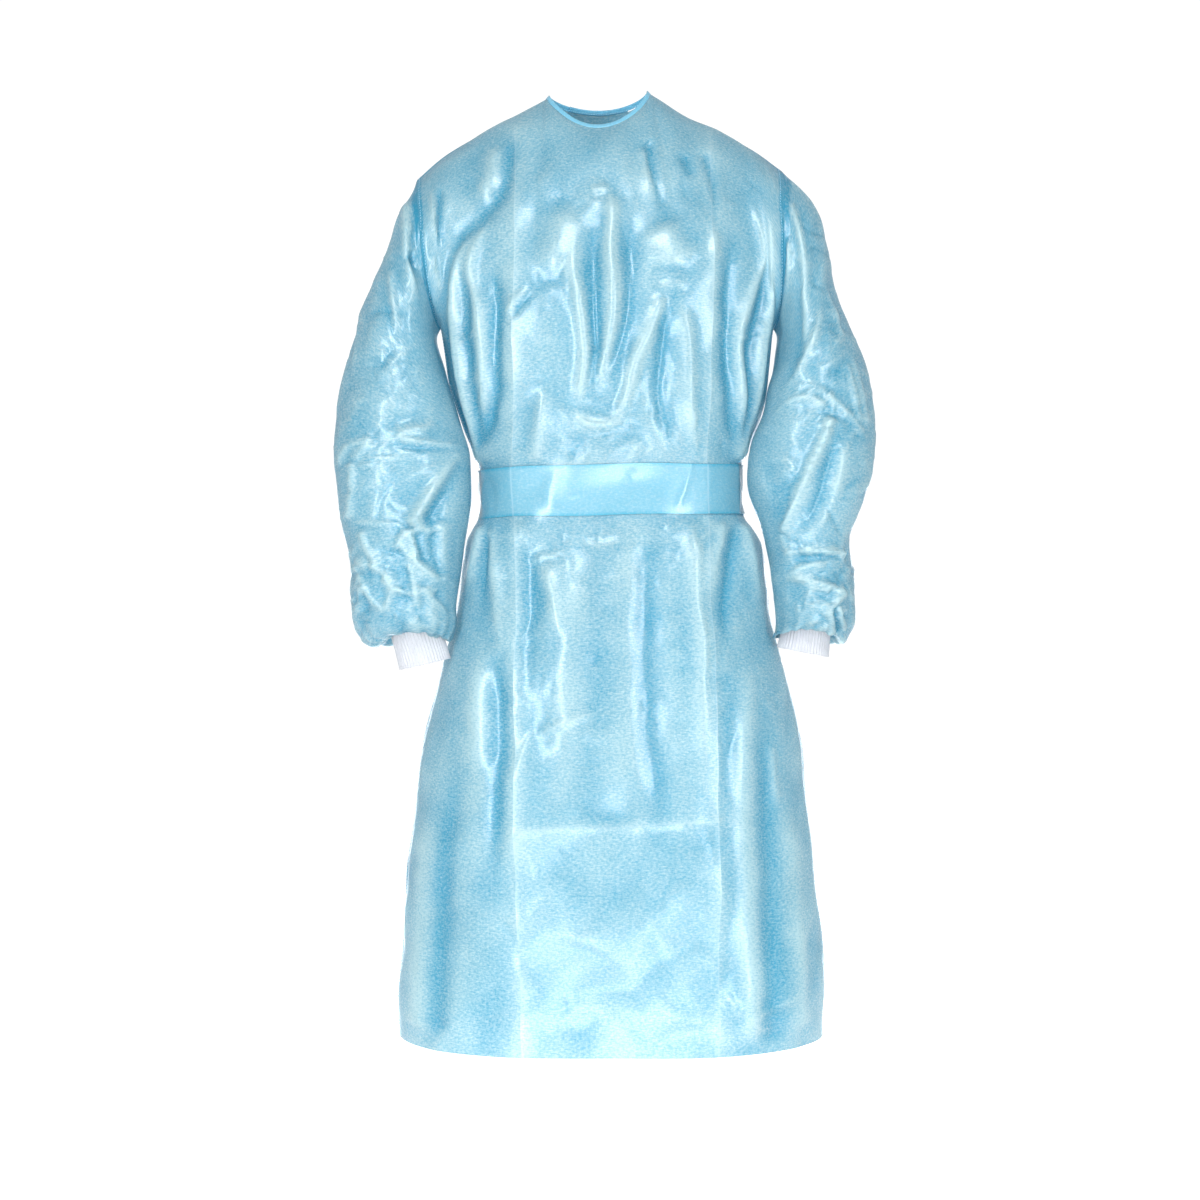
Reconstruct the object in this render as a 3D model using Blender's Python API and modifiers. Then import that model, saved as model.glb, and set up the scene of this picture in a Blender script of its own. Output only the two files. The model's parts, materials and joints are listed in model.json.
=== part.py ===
"""Chemotherapy gown, hollow and hanging as it is worn, closed at the back.

Metres, +Z up. +X is the wearer's left side, -Y is the front. The origin is the point
between the two shoulder seams at the neck, where the wearer holds the gown up.

Every panel is a grid: its columns run from the hem to the top edge, its rows run round
the body. Below the armpits a row is one level section of the body. Above them each
column is one curve that rises from the armpit section to the shoulder seam or neckline.
"""

import math
from collections import namedtuple

import bmesh
import bpy
import numpy as np

GOWN = "chemotherapy_gown"

# Walls and the spaces between pieces
CLOTH_WALL = 0.0015
KNIT_WALL = 0.0020
TAPE_WALL = 0.0015

# Pieces that butt are set back this far from their seam, so their edges keep 0.3 mm
SEAM_SETBACK = 0.0005

# Heights below the neck point
HEM_Z = -1.172
ARMPIT_Z = -0.290
BELT_TOP_Z = -0.465
BELT_BOTTOM_Z = -0.527

# The neckline, a round opening a little to the wearer's right of the origin
NECK_X = -0.009
NECK_HALF_WIDTH = 0.064
NECK_FRONT_Y = -0.057
NECK_BACK_Y = 0.060
NECK_FRONT_Z = -0.050
NECK_BACK_Z = -0.012
NECK_ROUNDNESS = 1.6

# The share of a panel's half width that ends at the neckline, not at the shoulder
NECK_SHARE = 0.33

# The back panels lap by this share of a half back, and lie this far apart there
LAP_SHARE = 0.13
LAP_DEPTH = 0.0040
LAP_EASE_SHARE = 0.20

TAPE_WIDTH = 0.006
TAPE_CLEARANCE = 0.0009
TAPE_SLOPE = math.radians(50)

FRONT = -1
BACK = 1
RIGHT = -1
LEFT = 1

# One level section of the body: its sides, its front and back, how flat those two are
# across, and how round it is at the side seams (low values bring it to a blunt corner)
BodyRow = namedtuple("BodyRow", "z right_x left_x front_y back_y flat round")
BODY_ROWS = (
    BodyRow(-1.172, -0.2560, 0.2730, -0.176, 0.152, 3.4, 1.55),
    BodyRow(-1.100, -0.2560, 0.2735, -0.172, 0.151, 3.3, 1.60),
    BodyRow(-1.000, -0.2490, 0.2640, -0.165, 0.148, 3.1, 1.65),
    BodyRow(-0.900, -0.2380, 0.2540, -0.157, 0.144, 3.0, 1.75),
    BodyRow(-0.800, -0.2250, 0.2420, -0.148, 0.139, 2.8, 1.85),
    BodyRow(-0.720, -0.2040, 0.2240, -0.141, 0.133, 2.7, 1.95),
    BodyRow(-0.660, -0.1860, 0.2080, -0.135, 0.127, 2.6, 2.00),
    BodyRow(-0.600, -0.1800, 0.2010, -0.128, 0.119, 2.5, 2.10),
    BodyRow(-0.560, -0.1730, 0.1930, -0.121, 0.112, 2.4, 2.20),
    BodyRow(-0.527, -0.1555, 0.1710, -0.115, 0.106, 2.4, 2.20),
    BodyRow(-0.496, -0.1530, 0.1690, -0.113, 0.104, 2.4, 2.20),
    BodyRow(-0.465, -0.1555, 0.1710, -0.116, 0.106, 2.4, 2.20),
    BodyRow(-0.420, -0.1760, 0.1870, -0.123, 0.112, 2.4, 2.20),
    BodyRow(-0.360, -0.1945, 0.2010, -0.130, 0.118, 2.4, 2.20),
    BodyRow(-0.290, -0.2045, 0.2100, -0.132, 0.121, 2.4, 2.20),
)

# The shoulder seam, from the neck to the armhole, on each side
SeamPoint = namedtuple("SeamPoint", "share x z")
SHOULDER_SEAMS = {
    RIGHT: (
        SeamPoint(0.00, -0.0725, -0.004),
        SeamPoint(0.25, -0.1120, -0.029),
        SeamPoint(0.50, -0.1560, -0.050),
        SeamPoint(0.75, -0.1980, -0.075),
        SeamPoint(1.00, -0.2350, -0.105),
    ),
    LEFT: (
        SeamPoint(0.00, 0.0555, 0.0025),
        SeamPoint(0.25, 0.0960, -0.025),
        SeamPoint(0.50, 0.1400, -0.044),
        SeamPoint(0.75, 0.1820, -0.067),
        SeamPoint(1.00, 0.2200, -0.094),
    ),
}

# The handles of the columns above the armpits: how far each stands out and up from its
# end, inside the chest, at the armhole, along the shoulder seam and at the neckline
Handle = namedtuple("Handle", "out up aside")
CHEST_HANDLE = Handle(0.004, 0.105, 0.0)
ARMHOLE_LOW_HANDLE = Handle(0.088, 0.012, 0.012)
SEAM_HANDLE = Handle(0.062, -0.004, 0.0)
NECK_HANDLE = Handle(0.030, -0.022, 0.0)
ARMHOLE_TOP_HANDLE = Handle(0.092, -0.030, 0.0)
ARMHOLE_BLEND = (0.50, 1.0)
NECK_BLEND = (0.14, 0.46)

# One ring of a sleeve: its outer and inner points, then where its front and back lie
SleeveRow = namedtuple("SleeveRow", "outer_x outer_z inner_x inner_z mid_y half_depth front_lift")
SLEEVE_ROWS = {
    RIGHT: (
        SleeveRow(-0.2560, -0.146, -0.2105, -0.303, -0.004, 0.074, 0.000),
        SleeveRow(-0.2740, -0.204, -0.2080, -0.320, -0.010, 0.076, 0.000),
        SleeveRow(-0.3000, -0.271, -0.1980, -0.350, -0.020, 0.077, 0.000),
        SleeveRow(-0.3190, -0.329, -0.1880, -0.385, -0.030, 0.077, 0.000),
        SleeveRow(-0.3285, -0.388, -0.1780, -0.418, -0.038, 0.076, 0.000),
        SleeveRow(-0.3325, -0.462, -0.1665, -0.455, -0.044, 0.075, 0.000),
        SleeveRow(-0.3270, -0.524, -0.1645, -0.510, -0.048, 0.073, 0.000),
        SleeveRow(-0.3155, -0.588, -0.1755, -0.575, -0.050, 0.068, 0.000),
        SleeveRow(-0.3125, -0.640, -0.1830, -0.635, -0.052, 0.060, 0.004),
        SleeveRow(-0.3010, -0.672, -0.1830, -0.665, -0.053, 0.052, 0.010),
        SleeveRow(-0.2840, -0.687, -0.1900, -0.680, -0.054, 0.040, 0.014),
        SleeveRow(-0.2720, -0.680, -0.1955, -0.676, -0.054, 0.030, 0.008),
    ),
    LEFT: (
        SleeveRow(0.2560, -0.135, 0.2155, -0.302, -0.004, 0.074, 0.000),
        SleeveRow(0.2760, -0.195, 0.2135, -0.322, -0.010, 0.076, 0.000),
        SleeveRow(0.2870, -0.245, 0.2075, -0.345, -0.020, 0.077, 0.000),
        SleeveRow(0.3060, -0.300, 0.1985, -0.370, -0.030, 0.077, 0.000),
        SleeveRow(0.3220, -0.350, 0.1930, -0.400, -0.038, 0.076, 0.000),
        SleeveRow(0.3315, -0.430, 0.1800, -0.438, -0.044, 0.075, 0.000),
        SleeveRow(0.3215, -0.495, 0.1760, -0.492, -0.048, 0.071, 0.000),
        SleeveRow(0.3000, -0.560, 0.1970, -0.560, -0.050, 0.064, 0.000),
        SleeveRow(0.3050, -0.620, 0.2070, -0.620, -0.052, 0.058, 0.004),
        SleeveRow(0.3050, -0.670, 0.2095, -0.664, -0.053, 0.050, 0.010),
        SleeveRow(0.2930, -0.683, 0.2085, -0.677, -0.054, 0.040, 0.014),
        SleeveRow(0.2850, -0.674, 0.2095, -0.671, -0.054, 0.031, 0.008),
    ),
}

# How far a sleeve's first ring stands outside the armhole, and more so under the arm
SLEEVE_SEAM_OFFSET = 0.0012
UNDERARM_OFFSET = 0.0016
UNDERARM_TURN = (0.2, 1.0)

# The sleeve's last two rings, over the cuff's top edge: how far outside it and above it
CUFF_SEAM_TURN = ((0.0040, -0.0010), (0.0000, 0.0026))

# One ring of a knitted cuff; its outer side hangs lower than its inner side by the drop
CuffRow = namedtuple("CuffRow", "mid_x mid_y mid_z half_width half_depth drop")
CUFF_ROWS = {
    RIGHT: (
        CuffRow(-0.2320, -0.054, -0.667, 0.0310, 0.0250, 0.003),
        CuffRow(-0.2265, -0.054, -0.688, 0.0300, 0.0235, 0.005),
        CuffRow(-0.2215, -0.054, -0.709, 0.0305, 0.0240, 0.007),
    ),
    LEFT: (
        CuffRow(0.2475, -0.054, -0.661, 0.0305, 0.0250, 0.002),
        CuffRow(0.2455, -0.054, -0.678, 0.0300, 0.0235, 0.004),
        CuffRow(0.2430, -0.054, -0.694, 0.0310, 0.0240, 0.006),
    ),
}

# A large fold: a line on the panel with a soft rounded height, negative for a trough
Fold = namedtuple("Fold", "top_x top_z end_x end_z height width")
FRONT_FOLDS = (
    Fold(-0.150, -0.150, -0.150, -0.470, 0.0100, 0.013),
    Fold(-0.120, -0.200, -0.128, -0.440, -0.0060, 0.012),
    Fold(-0.176, -0.260, -0.162, -0.450, -0.0050, 0.011),
    Fold(0.172, -0.150, 0.162, -0.470, 0.0100, 0.013),
    Fold(0.142, -0.230, 0.146, -0.450, -0.0060, 0.012),
    Fold(-0.010, -0.130, -0.012, -0.370, 0.0060, 0.015),
    Fold(0.064, -0.240, 0.022, -0.400, 0.0075, 0.014),
    Fold(-0.036, -0.220, -0.034, -0.390, -0.0050, 0.014),
    Fold(0.030, -0.240, 0.004, -0.390, -0.0050, 0.013),
    Fold(-0.118, -0.560, -0.126, -1.200, 0.0050, 0.016),
    Fold(0.134, -0.560, 0.146, -1.200, 0.0060, 0.014),
    Fold(0.172, -0.800, 0.192, -1.200, -0.0120, 0.020),
    Fold(-0.170, -0.700, -0.190, -1.200, -0.0060, 0.024),
    Fold(0.020, -0.760, 0.010, -1.200, 0.0050, 0.045),
)
BACK_FOLDS = (
    Fold(-0.120, -0.170, -0.100, -0.470, 0.0090, 0.015),
    Fold(0.128, -0.180, 0.108, -0.470, 0.0095, 0.015),
    Fold(-0.085, -0.230, -0.072, -0.440, -0.0050, 0.013),
    Fold(0.092, -0.220, 0.078, -0.440, -0.0050, 0.013),
    Fold(-0.095, -0.540, -0.140, -1.200, 0.0110, 0.024),
    Fold(0.105, -0.540, 0.150, -1.200, 0.0110, 0.024),
    Fold(-0.140, -0.580, -0.195, -1.200, -0.0070, 0.022),
    Fold(0.150, -0.580, 0.205, -1.200, -0.0070, 0.022),
)

# How quickly a fold fades towards a seam, as a share of the half width, and at its ends
SEAM_FADE_SHARE = 0.14
TOP_FADE_SHARE = 0.35
FOLD_END_EASE = 0.060
BELT_FADE_HEIGHT = 0.050

# Grid sizes
NECK_COLUMNS = 12
SHOULDER_COLUMNS = 7
LAP_COLUMNS = 8
SKIRT_ROWS = 9
TORSO_ROWS = 4
SHOULDER_ROWS = 8
SLEEVE_COLUMNS = 18
CUFF_COLUMNS = 20

# The belt lies this far out on the panels; it stops and narrows at the knot
BELT_LIFT = 0.0020
BELT_STOP_SHARE = 0.06
BELT_NARROW_SHARE = 0.30
BELT_NARROWING = 0.45

# Half sizes of the knot, and how far its middle stands out from the back panel
KNOT_HALF = (0.032, 0.0095, 0.020)
KNOT_LIFT = 0.0122
KNOT_SEGMENTS = 16
KNOT_RINGS = 10

# The two free ends, from under the knot to their hems
Tail = namedtuple("Tail", "top_x end_x top_z end_z top_half end_half lift")
TAILS = {
    LEFT: Tail(0.014, 0.046, -0.5150, -0.850, 0.011, 0.026, 0.0068),
    RIGHT: Tail(-0.014, -0.060, -0.5150, -0.905, 0.011, 0.026, 0.0068),
}
TAIL_ROWS = 12
TAIL_COLUMNS = 4
TAIL_WIDENING = 0.60

# The closing tab lies on the upper back panel just under the neckline
TAB_SHARES = (-0.16, 0.06)
TAB_RISES = (0.87, 0.955)
TAB_LIFT = 0.0026

TAB_COLUMNS = 4
TAB_ROWS = 3

# How finely one quarter of a body section, and the middle of the back, are measured
ARC_SAMPLES = 241
BACK_MEASURE_SHARES = np.linspace(-0.8, 0.8, 81)

# Where the columns stand: one is at each end of the neckline, and more lie between them
NECK_STEPS = np.linspace(-NECK_SHARE, NECK_SHARE, NECK_COLUMNS + 1)
LAP_STEPS = np.linspace(-NECK_SHARE, LAP_SHARE, LAP_COLUMNS + 1)
RIGHT_STEPS = np.linspace(-1.0, -NECK_SHARE, SHOULDER_COLUMNS + 1)[:-1]
FRONT_SHARES = np.concatenate((RIGHT_STEPS, NECK_STEPS, -RIGHT_STEPS[::-1]))
BACK_OVER_SHARES = np.concatenate((RIGHT_STEPS, LAP_STEPS))
BACK_UNDER_SHARES = -BACK_OVER_SHARES[::-1]
BELT_MIDDLE_Z = (BELT_BOTTOM_Z + BELT_TOP_Z) / 2

CLOTH_BLUE = (0.32, 0.72, 0.90)
BELT_BLUE = (0.25, 0.66, 0.88)
TAPE_BLUE = (0.22, 0.66, 0.90)
KNIT_WHITE = (0.86, 0.88, 0.91)
TAB_WHITE = (0.80, 0.85, 0.88)
CLOTH_ROUGHNESS = 0.45
KNIT_ROUGHNESS = 0.9


def smooth(value, low, high):
    """Rise from 0 at low to 1 at high with no kink."""
    share = np.clip((value - low) / (high - low), 0.0, 1.0)
    return share * share * (3.0 - 2.0 * share)


def read_table(rows, key):
    """Every column of a table at a key, on a smooth curve through the rows."""
    table = np.array(rows, dtype=float)
    keys = table[:, 0]
    slopes = np.gradient(table, keys, axis=0)
    low = int(np.clip(np.searchsorted(keys, key) - 1, 0, len(keys) - 2))
    span = keys[low + 1] - keys[low]
    t = (key - keys[low]) / span
    return (
        (2 * t**3 - 3 * t**2 + 1) * table[low]
        + (t**3 - 2 * t**2 + t) * span * slopes[low]
        + (3 * t**2 - 2 * t**3) * table[low + 1]
        + (t**3 - t**2) * span * slopes[low + 1]
    )


def section(z, shares, face):
    """Points of the body at one height; shares run -1 to 1 along a half of its girth."""
    row = BodyRow(*read_table(BODY_ROWS, z))
    half_width = (row.left_x - row.right_x) / 2
    middle_x = (row.left_x + row.right_x) / 2
    depth = row.back_y if face == BACK else -row.front_y
    turn = np.linspace(0.0, math.pi / 2, ARC_SAMPLES)
    across = half_width * np.sin(turn) ** (2.0 / row.flat)
    out = depth * np.clip(np.cos(turn), 0.0, 1.0) ** (2.0 / row.round)
    steps = np.hypot(np.diff(across), np.diff(out))
    travelled = np.concatenate(([0.0], np.cumsum(steps)))
    travelled /= travelled[-1]
    x = middle_x + np.sign(shares) * np.interp(np.abs(shares), travelled, across)
    y = face * np.interp(np.abs(shares), travelled, out)
    return np.column_stack((x, y, np.full_like(x, z)))


def neckline(shares, face):
    """Points of the neck's edge; shares run -1 to 1 between the two shoulder seams."""
    turn = np.asarray(shares) * math.pi / 2
    depth = abs(NECK_FRONT_Y) if face == FRONT else NECK_BACK_Y
    drop = NECK_FRONT_Z if face == FRONT else NECK_BACK_Z
    right = SHOULDER_SEAMS[RIGHT][0]
    left = SHOULDER_SEAMS[LEFT][0]
    level = np.interp(shares, (-1.0, 1.0), (right.z, left.z))
    z = level + (drop - level) * np.cos(turn) ** NECK_ROUNDNESS
    x = NECK_X + NECK_HALF_WIDTH * np.sin(turn)
    return np.column_stack((x, face * depth * np.cos(turn), z))


def top_edge(shares, face):
    """The panel's top: shoulder seam, neckline, shoulder seam."""
    points = np.zeros((len(shares), 3))
    for index, share in enumerate(shares):
        if abs(share) <= NECK_SHARE:
            points[index] = neckline(np.array([share / NECK_SHARE]), face)[0]
            continue
        side = LEFT if share > 0 else RIGHT
        along = (abs(share) - NECK_SHARE) / (1.0 - NECK_SHARE)
        seam = SeamPoint(*read_table(SHOULDER_SEAMS[side], along))
        points[index] = (seam.x, 0.0, seam.z)
    return points


def handle_point(end, handle, shares, face):
    """Where a handle puts the second point of the columns' ends."""
    step = np.zeros_like(end)
    step[:, 0] = handle.aside * np.sign(shares)
    step[:, 1] = handle.out * face
    step[:, 2] = handle.up
    return end + step


def shoulder_columns(shares, rises, face):
    """Columns from the armpit section up to the top edge, rounded over the chest or back."""
    low = section(ARMPIT_Z, shares, face)
    high = top_edge(shares, face)
    size = np.abs(shares)[:, None]
    at_armhole = smooth(size, *ARMHOLE_BLEND)
    at_neck = 1.0 - smooth(size, *NECK_BLEND)
    chest = handle_point(low, CHEST_HANDLE, shares, face)
    armhole_low = handle_point(low, ARMHOLE_LOW_HANDLE, shares, face)
    seam = handle_point(high, SEAM_HANDLE, shares, face)
    neck = handle_point(high, NECK_HANDLE, shares, face)
    armhole_top = handle_point(high, ARMHOLE_TOP_HANDLE, shares, face)
    low_handle = chest + at_armhole**3 * (armhole_low - chest)
    high_handle = seam + at_armhole**2 * (armhole_top - seam)
    high_handle = high_handle + at_neck * (neck - high_handle)
    rows = []
    for t in rises:
        rows.append(
            (1 - t) ** 3 * low
            + 3 * (1 - t) ** 2 * t * low_handle
            + 3 * (1 - t) * t**2 * high_handle
            + t**3 * high
        )
    return rows


def outward(grid, face):
    """Unit normals of a grid of points, pointing away from the body."""
    along_row = np.gradient(grid, axis=1)
    up_column = np.gradient(grid, axis=0)
    normal = np.cross(along_row, up_column) * -face
    return normal / np.linalg.norm(normal, axis=2, keepdims=True)


def fold_height(grid, folds):
    """The height that a table of folds gives each point of a grid, seen from the front."""
    x = grid[:, :, 0]
    z = grid[:, :, 2]
    total = np.zeros_like(x)
    for fold in folds:
        line = np.array((fold.end_x - fold.top_x, fold.end_z - fold.top_z))
        length = np.linalg.norm(line)
        line = line / length
        along = (x - fold.top_x) * line[0] + (z - fold.top_z) * line[1]
        across = (x - fold.top_x) * line[1] - (z - fold.top_z) * line[0]
        fade = smooth(along, 0.0, FOLD_END_EASE) * (1 - smooth(along, length - FOLD_END_EASE, length))
        total += fold.height * fade * np.exp(-((across / fold.width) ** 2))
    return total


def row_heights():
    """The body's levels from the hem to the armpit, with rows at the belt's edges."""
    skirt = np.linspace(HEM_Z, BELT_BOTTOM_Z, SKIRT_ROWS)
    belt = np.array((BELT_MIDDLE_Z, BELT_TOP_Z))
    torso = np.linspace(BELT_TOP_Z, ARMPIT_Z, TORSO_ROWS + 1)[1:]
    return np.concatenate((skirt, belt, torso))


def body_grid(shares, face, folds):
    """A body panel's mid surface, hem to top edge, with its large folds."""
    rows = [section(z, shares, face) for z in row_heights()]
    rises = np.linspace(0.0, 1.0, SHOULDER_ROWS + 1)[1:]
    rows += shoulder_columns(shares, rises, face)
    grid = np.array(rows)
    at_seam = smooth(1.0 - np.abs(shares), 0.0, SEAM_FADE_SHARE)[None, :]
    lower_rows = len(rows) - SHOULDER_ROWS
    rise = np.concatenate((np.zeros(lower_rows), rises))
    at_top = smooth(1.0 - rise, 0.0, TOP_FADE_SHARE)[:, None]
    from_belt = np.maximum(grid[:, :, 2] - BELT_TOP_Z, BELT_BOTTOM_Z - grid[:, :, 2])
    at_belt = smooth(from_belt, 0.0, BELT_FADE_HEIGHT)
    height = fold_height(grid, folds) * at_seam * at_top * at_belt
    grid = grid + outward(grid, face) * height[:, :, None]
    grid[:, :, 1] += face * SEAM_SETBACK
    return grid


def grid_object(name, grid, wall, material, closed=False):
    """A wall of cloth round a grid of points; closed joins its last column to its first."""
    rows, columns = grid.shape[:2]
    mesh = bpy.data.meshes.new(name)
    shell = bmesh.new()
    points = [[shell.verts.new(grid[r, c]) for c in range(columns)] for r in range(rows)]
    for r in range(rows - 1):
        for c in range(columns if closed else columns - 1):
            after = (c + 1) % columns
            shell.faces.new((points[r][c], points[r][after], points[r + 1][after], points[r + 1][c]))
    shell.to_mesh(mesh)
    shell.free()
    mesh.shade_smooth()
    mesh.materials.append(material)
    item = bpy.data.objects.new(name, mesh)
    gown_parts.objects.link(item)
    thicken = item.modifiers.new("Wall", "SOLIDIFY")
    thicken.thickness = wall
    thicken.offset = 0.0


def plain_material(name, colour, roughness):
    """A matt fabric colour."""
    material = bpy.data.materials.new(name)
    material.use_nodes = True
    shader = material.node_tree.nodes["Principled BSDF"]
    shader.inputs["Base Color"].default_value = (*colour, 1.0)
    shader.inputs["Roughness"].default_value = roughness
    shader.inputs["Metallic"].default_value = 0.0
    return material


def under_weight(shares):
    """1 where the upper back panel covers the under one, easing to 0 beyond."""
    return 1.0 - smooth(shares, LAP_SHARE, LAP_SHARE + LAP_EASE_SHARE)


def lap_offset(grid, shares):
    """Move the under back panel in where the upper one covers it."""
    return grid - outward(grid, BACK) * (LAP_DEPTH * under_weight(shares))[None, :, None]


def build_panels(cloth):
    """The front and the two back panels."""
    front = body_grid(FRONT_SHARES, FRONT, FRONT_FOLDS)
    grid_object("front", front, CLOTH_WALL, cloth)
    back_over = body_grid(BACK_OVER_SHARES, BACK, BACK_FOLDS)
    grid_object("back_right", back_over, CLOTH_WALL, cloth)
    back_under = body_grid(BACK_UNDER_SHARES, BACK, BACK_FOLDS)
    back_under = lap_offset(back_under, BACK_UNDER_SHARES)
    grid_object("back_left", back_under, CLOTH_WALL, cloth)


def armhole_loop(side, count):
    """The armhole's edge: from the shoulder over the front to the armpit and back again."""
    loop = []
    for turn in np.linspace(0.0, 2.0, count, endpoint=False):
        face = FRONT if turn <= 1.0 else BACK
        rise = 1.0 - turn if turn <= 1.0 else turn - 1.0
        loop.append(shoulder_columns(np.array([float(side)]), [rise], face)[0][0])
    return np.array(loop)


def sleeve_ring(row, count):
    """One ring of a sleeve, starting at its outer point and turning over the front."""
    turn = np.linspace(0.0, 2 * math.pi, count, endpoint=False)
    outer = np.array((row.outer_x, row.mid_y, row.outer_z))
    inner = np.array((row.inner_x, row.mid_y, row.inner_z))
    middle = (outer + inner) / 2
    ring = middle + np.cos(turn)[:, None] * (outer - inner) / 2
    ring[:, 1] -= np.sin(turn) * row.half_depth
    ring[:, 2] += np.maximum(np.sin(turn), 0.0) * row.front_lift
    return ring


def build_sleeve(side, name, cloth):
    """A sleeve from just outside the armhole to the cuff's seam, bloused above it."""
    loop = armhole_loop(side, SLEEVE_COLUMNS)
    turn = np.linspace(0.0, 2 * math.pi, SLEEVE_COLUMNS, endpoint=False)
    under = smooth(-np.cos(turn), *UNDERARM_TURN)
    loop[:, 0] += side * (SLEEVE_SEAM_OFFSET + UNDERARM_OFFSET * under)
    rings = [loop] + [sleeve_ring(row, SLEEVE_COLUMNS) for row in SLEEVE_ROWS[side]]
    for spread, rise in CUFF_SEAM_TURN:
        seam = cuff_ring(CUFF_ROWS[side][0], SLEEVE_COLUMNS, side, spread)
        seam[:, 2] += rise
        rings.append(seam)
    grid_object(name, np.array(rings), CLOTH_WALL, cloth, closed=True)


def cuff_ring(row, count, side, spread=0.0):
    """One ring of a cuff, starting at its outer side and turning over the front."""
    turn = np.linspace(0.0, 2 * math.pi, count, endpoint=False)
    x = row.mid_x + side * (row.half_width + spread) * np.cos(turn)
    y = row.mid_y - (row.half_depth + spread) * np.sin(turn)
    z = row.mid_z - row.drop * np.cos(turn)
    return np.column_stack((x, y, z))


def build_cuff(side, name, knit):
    """A knitted tube below the sleeve's end."""
    rings = [cuff_ring(row, CUFF_COLUMNS, side) for row in CUFF_ROWS[side]]
    grid_object(name, np.array(rings), KNIT_WALL, knit, closed=True)


def neck_route():
    """The neckline from the upper back panel's edge, round the front, to the under one's."""
    back_over = neckline(LAP_STEPS / NECK_SHARE, BACK)
    front = neckline(NECK_STEPS / NECK_SHARE, FRONT)
    under_shares = -LAP_STEPS
    back_under = neckline(under_shares / NECK_SHARE, BACK)
    back_under[:, 1] -= LAP_DEPTH * under_weight(under_shares)
    return np.concatenate((back_over[::-1], front[1:-1], back_under))


def build_binding(tape):
    """The folded tape on the neckline."""
    low = neck_route()
    middle = np.array((NECK_X, 0.0, 0.0))
    inward = middle - low
    inward[:, 2] = 0.0
    inward /= np.linalg.norm(inward, axis=1, keepdims=True)
    rise = inward * math.cos(TAPE_SLOPE) + np.array((0.0, 0.0, math.sin(TAPE_SLOPE)))
    rows = [low + rise * TAPE_CLEARANCE, low + rise * (TAPE_CLEARANCE + TAPE_WIDTH)]
    grid_object("neck_binding", np.array(rows), TAPE_WALL, tape)


def raised(shares, heights, face, lift):
    """A patch of the body's plain surface moved out."""
    grid = np.array([section(z, shares, face) for z in heights])
    grid[:, :, 1] += face * SEAM_SETBACK
    return grid + outward(grid, face) * lift


def build_belt(belt_cloth):
    """The flat band: from the knot round the right side, the front and the left side."""
    heights = np.array((BELT_BOTTOM_Z, BELT_MIDDLE_Z, BELT_TOP_Z))
    left_shares = BACK_UNDER_SHARES[BACK_UNDER_SHARES > BELT_STOP_SHARE]
    left_shares = np.insert(left_shares, 0, BELT_STOP_SHARE)
    right_shares = -left_shares[::-1]
    back_right = raised(right_shares, heights, BACK, BELT_LIFT)
    front = raised(FRONT_SHARES, heights, FRONT, BELT_LIFT)
    back_left = raised(left_shares, heights, BACK, BELT_LIFT)
    for grid, shares in ((back_right, right_shares), (back_left, left_shares)):
        from_knot = smooth(np.abs(shares), BELT_STOP_SHARE, BELT_NARROW_SHARE)
        narrowing = BELT_NARROWING * (1.0 - from_knot)
        grid[:, :, 2] = BELT_MIDDLE_Z + (grid[:, :, 2] - BELT_MIDDLE_Z) * (1.0 - narrowing)
    band = np.concatenate((back_right[:, :0:-1], front, back_left[:, -2::-1]), axis=1)
    grid_object("belt", band, CLOTH_WALL, belt_cloth)


def back_point(x, z):
    """The back's outer surface at one place, with its large folds."""
    row = section(z, BACK_MEASURE_SHARES, BACK)
    y = np.interp(x, row[:, 0], row[:, 1])
    place = np.array(((((x, y, z)),),))
    fade = smooth(BELT_BOTTOM_Z - z, 0.0, BELT_FADE_HEIGHT)
    y += fold_height(place, BACK_FOLDS)[0, 0] * fade
    return np.array((x, y, z))


def build_knot(belt_cloth):
    """The tied ends, pulled into a flattened ball."""
    seat = section(BELT_MIDDLE_Z, np.zeros(1), BACK)[0]
    ball = bmesh.new()
    bmesh.ops.create_uvsphere(ball, u_segments=KNOT_SEGMENTS, v_segments=KNOT_RINGS, radius=1.0)
    bmesh.ops.scale(ball, vec=KNOT_HALF, verts=ball.verts)
    mesh = bpy.data.meshes.new("belt_knot")
    ball.to_mesh(mesh)
    ball.free()
    mesh.shade_smooth()
    mesh.materials.append(belt_cloth)
    knot = bpy.data.objects.new("belt_knot", mesh)
    knot.location = (seat[0], seat[1] + KNOT_LIFT, seat[2])
    gown_parts.objects.link(knot)


def build_tail(side, name, belt_cloth):
    """A free end hanging close to the back panel, widening below the knot."""
    tail = TAILS[side]
    rows = []
    knot_x = section(tail.top_z, np.zeros(1), BACK)[0, 0]
    for down in np.linspace(0.0, 1.0, TAIL_ROWS + 1):
        z = tail.top_z + (tail.end_z - tail.top_z) * down
        middle_x = knot_x + tail.top_x + (tail.end_x - tail.top_x) * down
        spread = smooth(down, 0.0, TAIL_WIDENING)
        half = tail.top_half + (tail.end_half - tail.top_half) * spread
        across = np.linspace(-half, half, TAIL_COLUMNS + 1)
        row = np.array([back_point(middle_x + step, z) for step in across])
        row[:, 1] += tail.lift
        rows.append(row)
    grid_object(name, np.array(rows[::-1]), CLOTH_WALL, belt_cloth)


def build_tab(tab_cloth):
    """The hook-and-loop tab that closes the neck."""
    shares = np.linspace(*TAB_SHARES, TAB_COLUMNS)
    rises = np.linspace(*TAB_RISES, TAB_ROWS)
    grid = np.array(shoulder_columns(shares, rises, BACK))
    grid[:, :, 1] += SEAM_SETBACK
    grid = grid + outward(grid, BACK) * TAB_LIFT
    grid_object("neck_tab", grid, CLOTH_WALL, tab_cloth)


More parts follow.
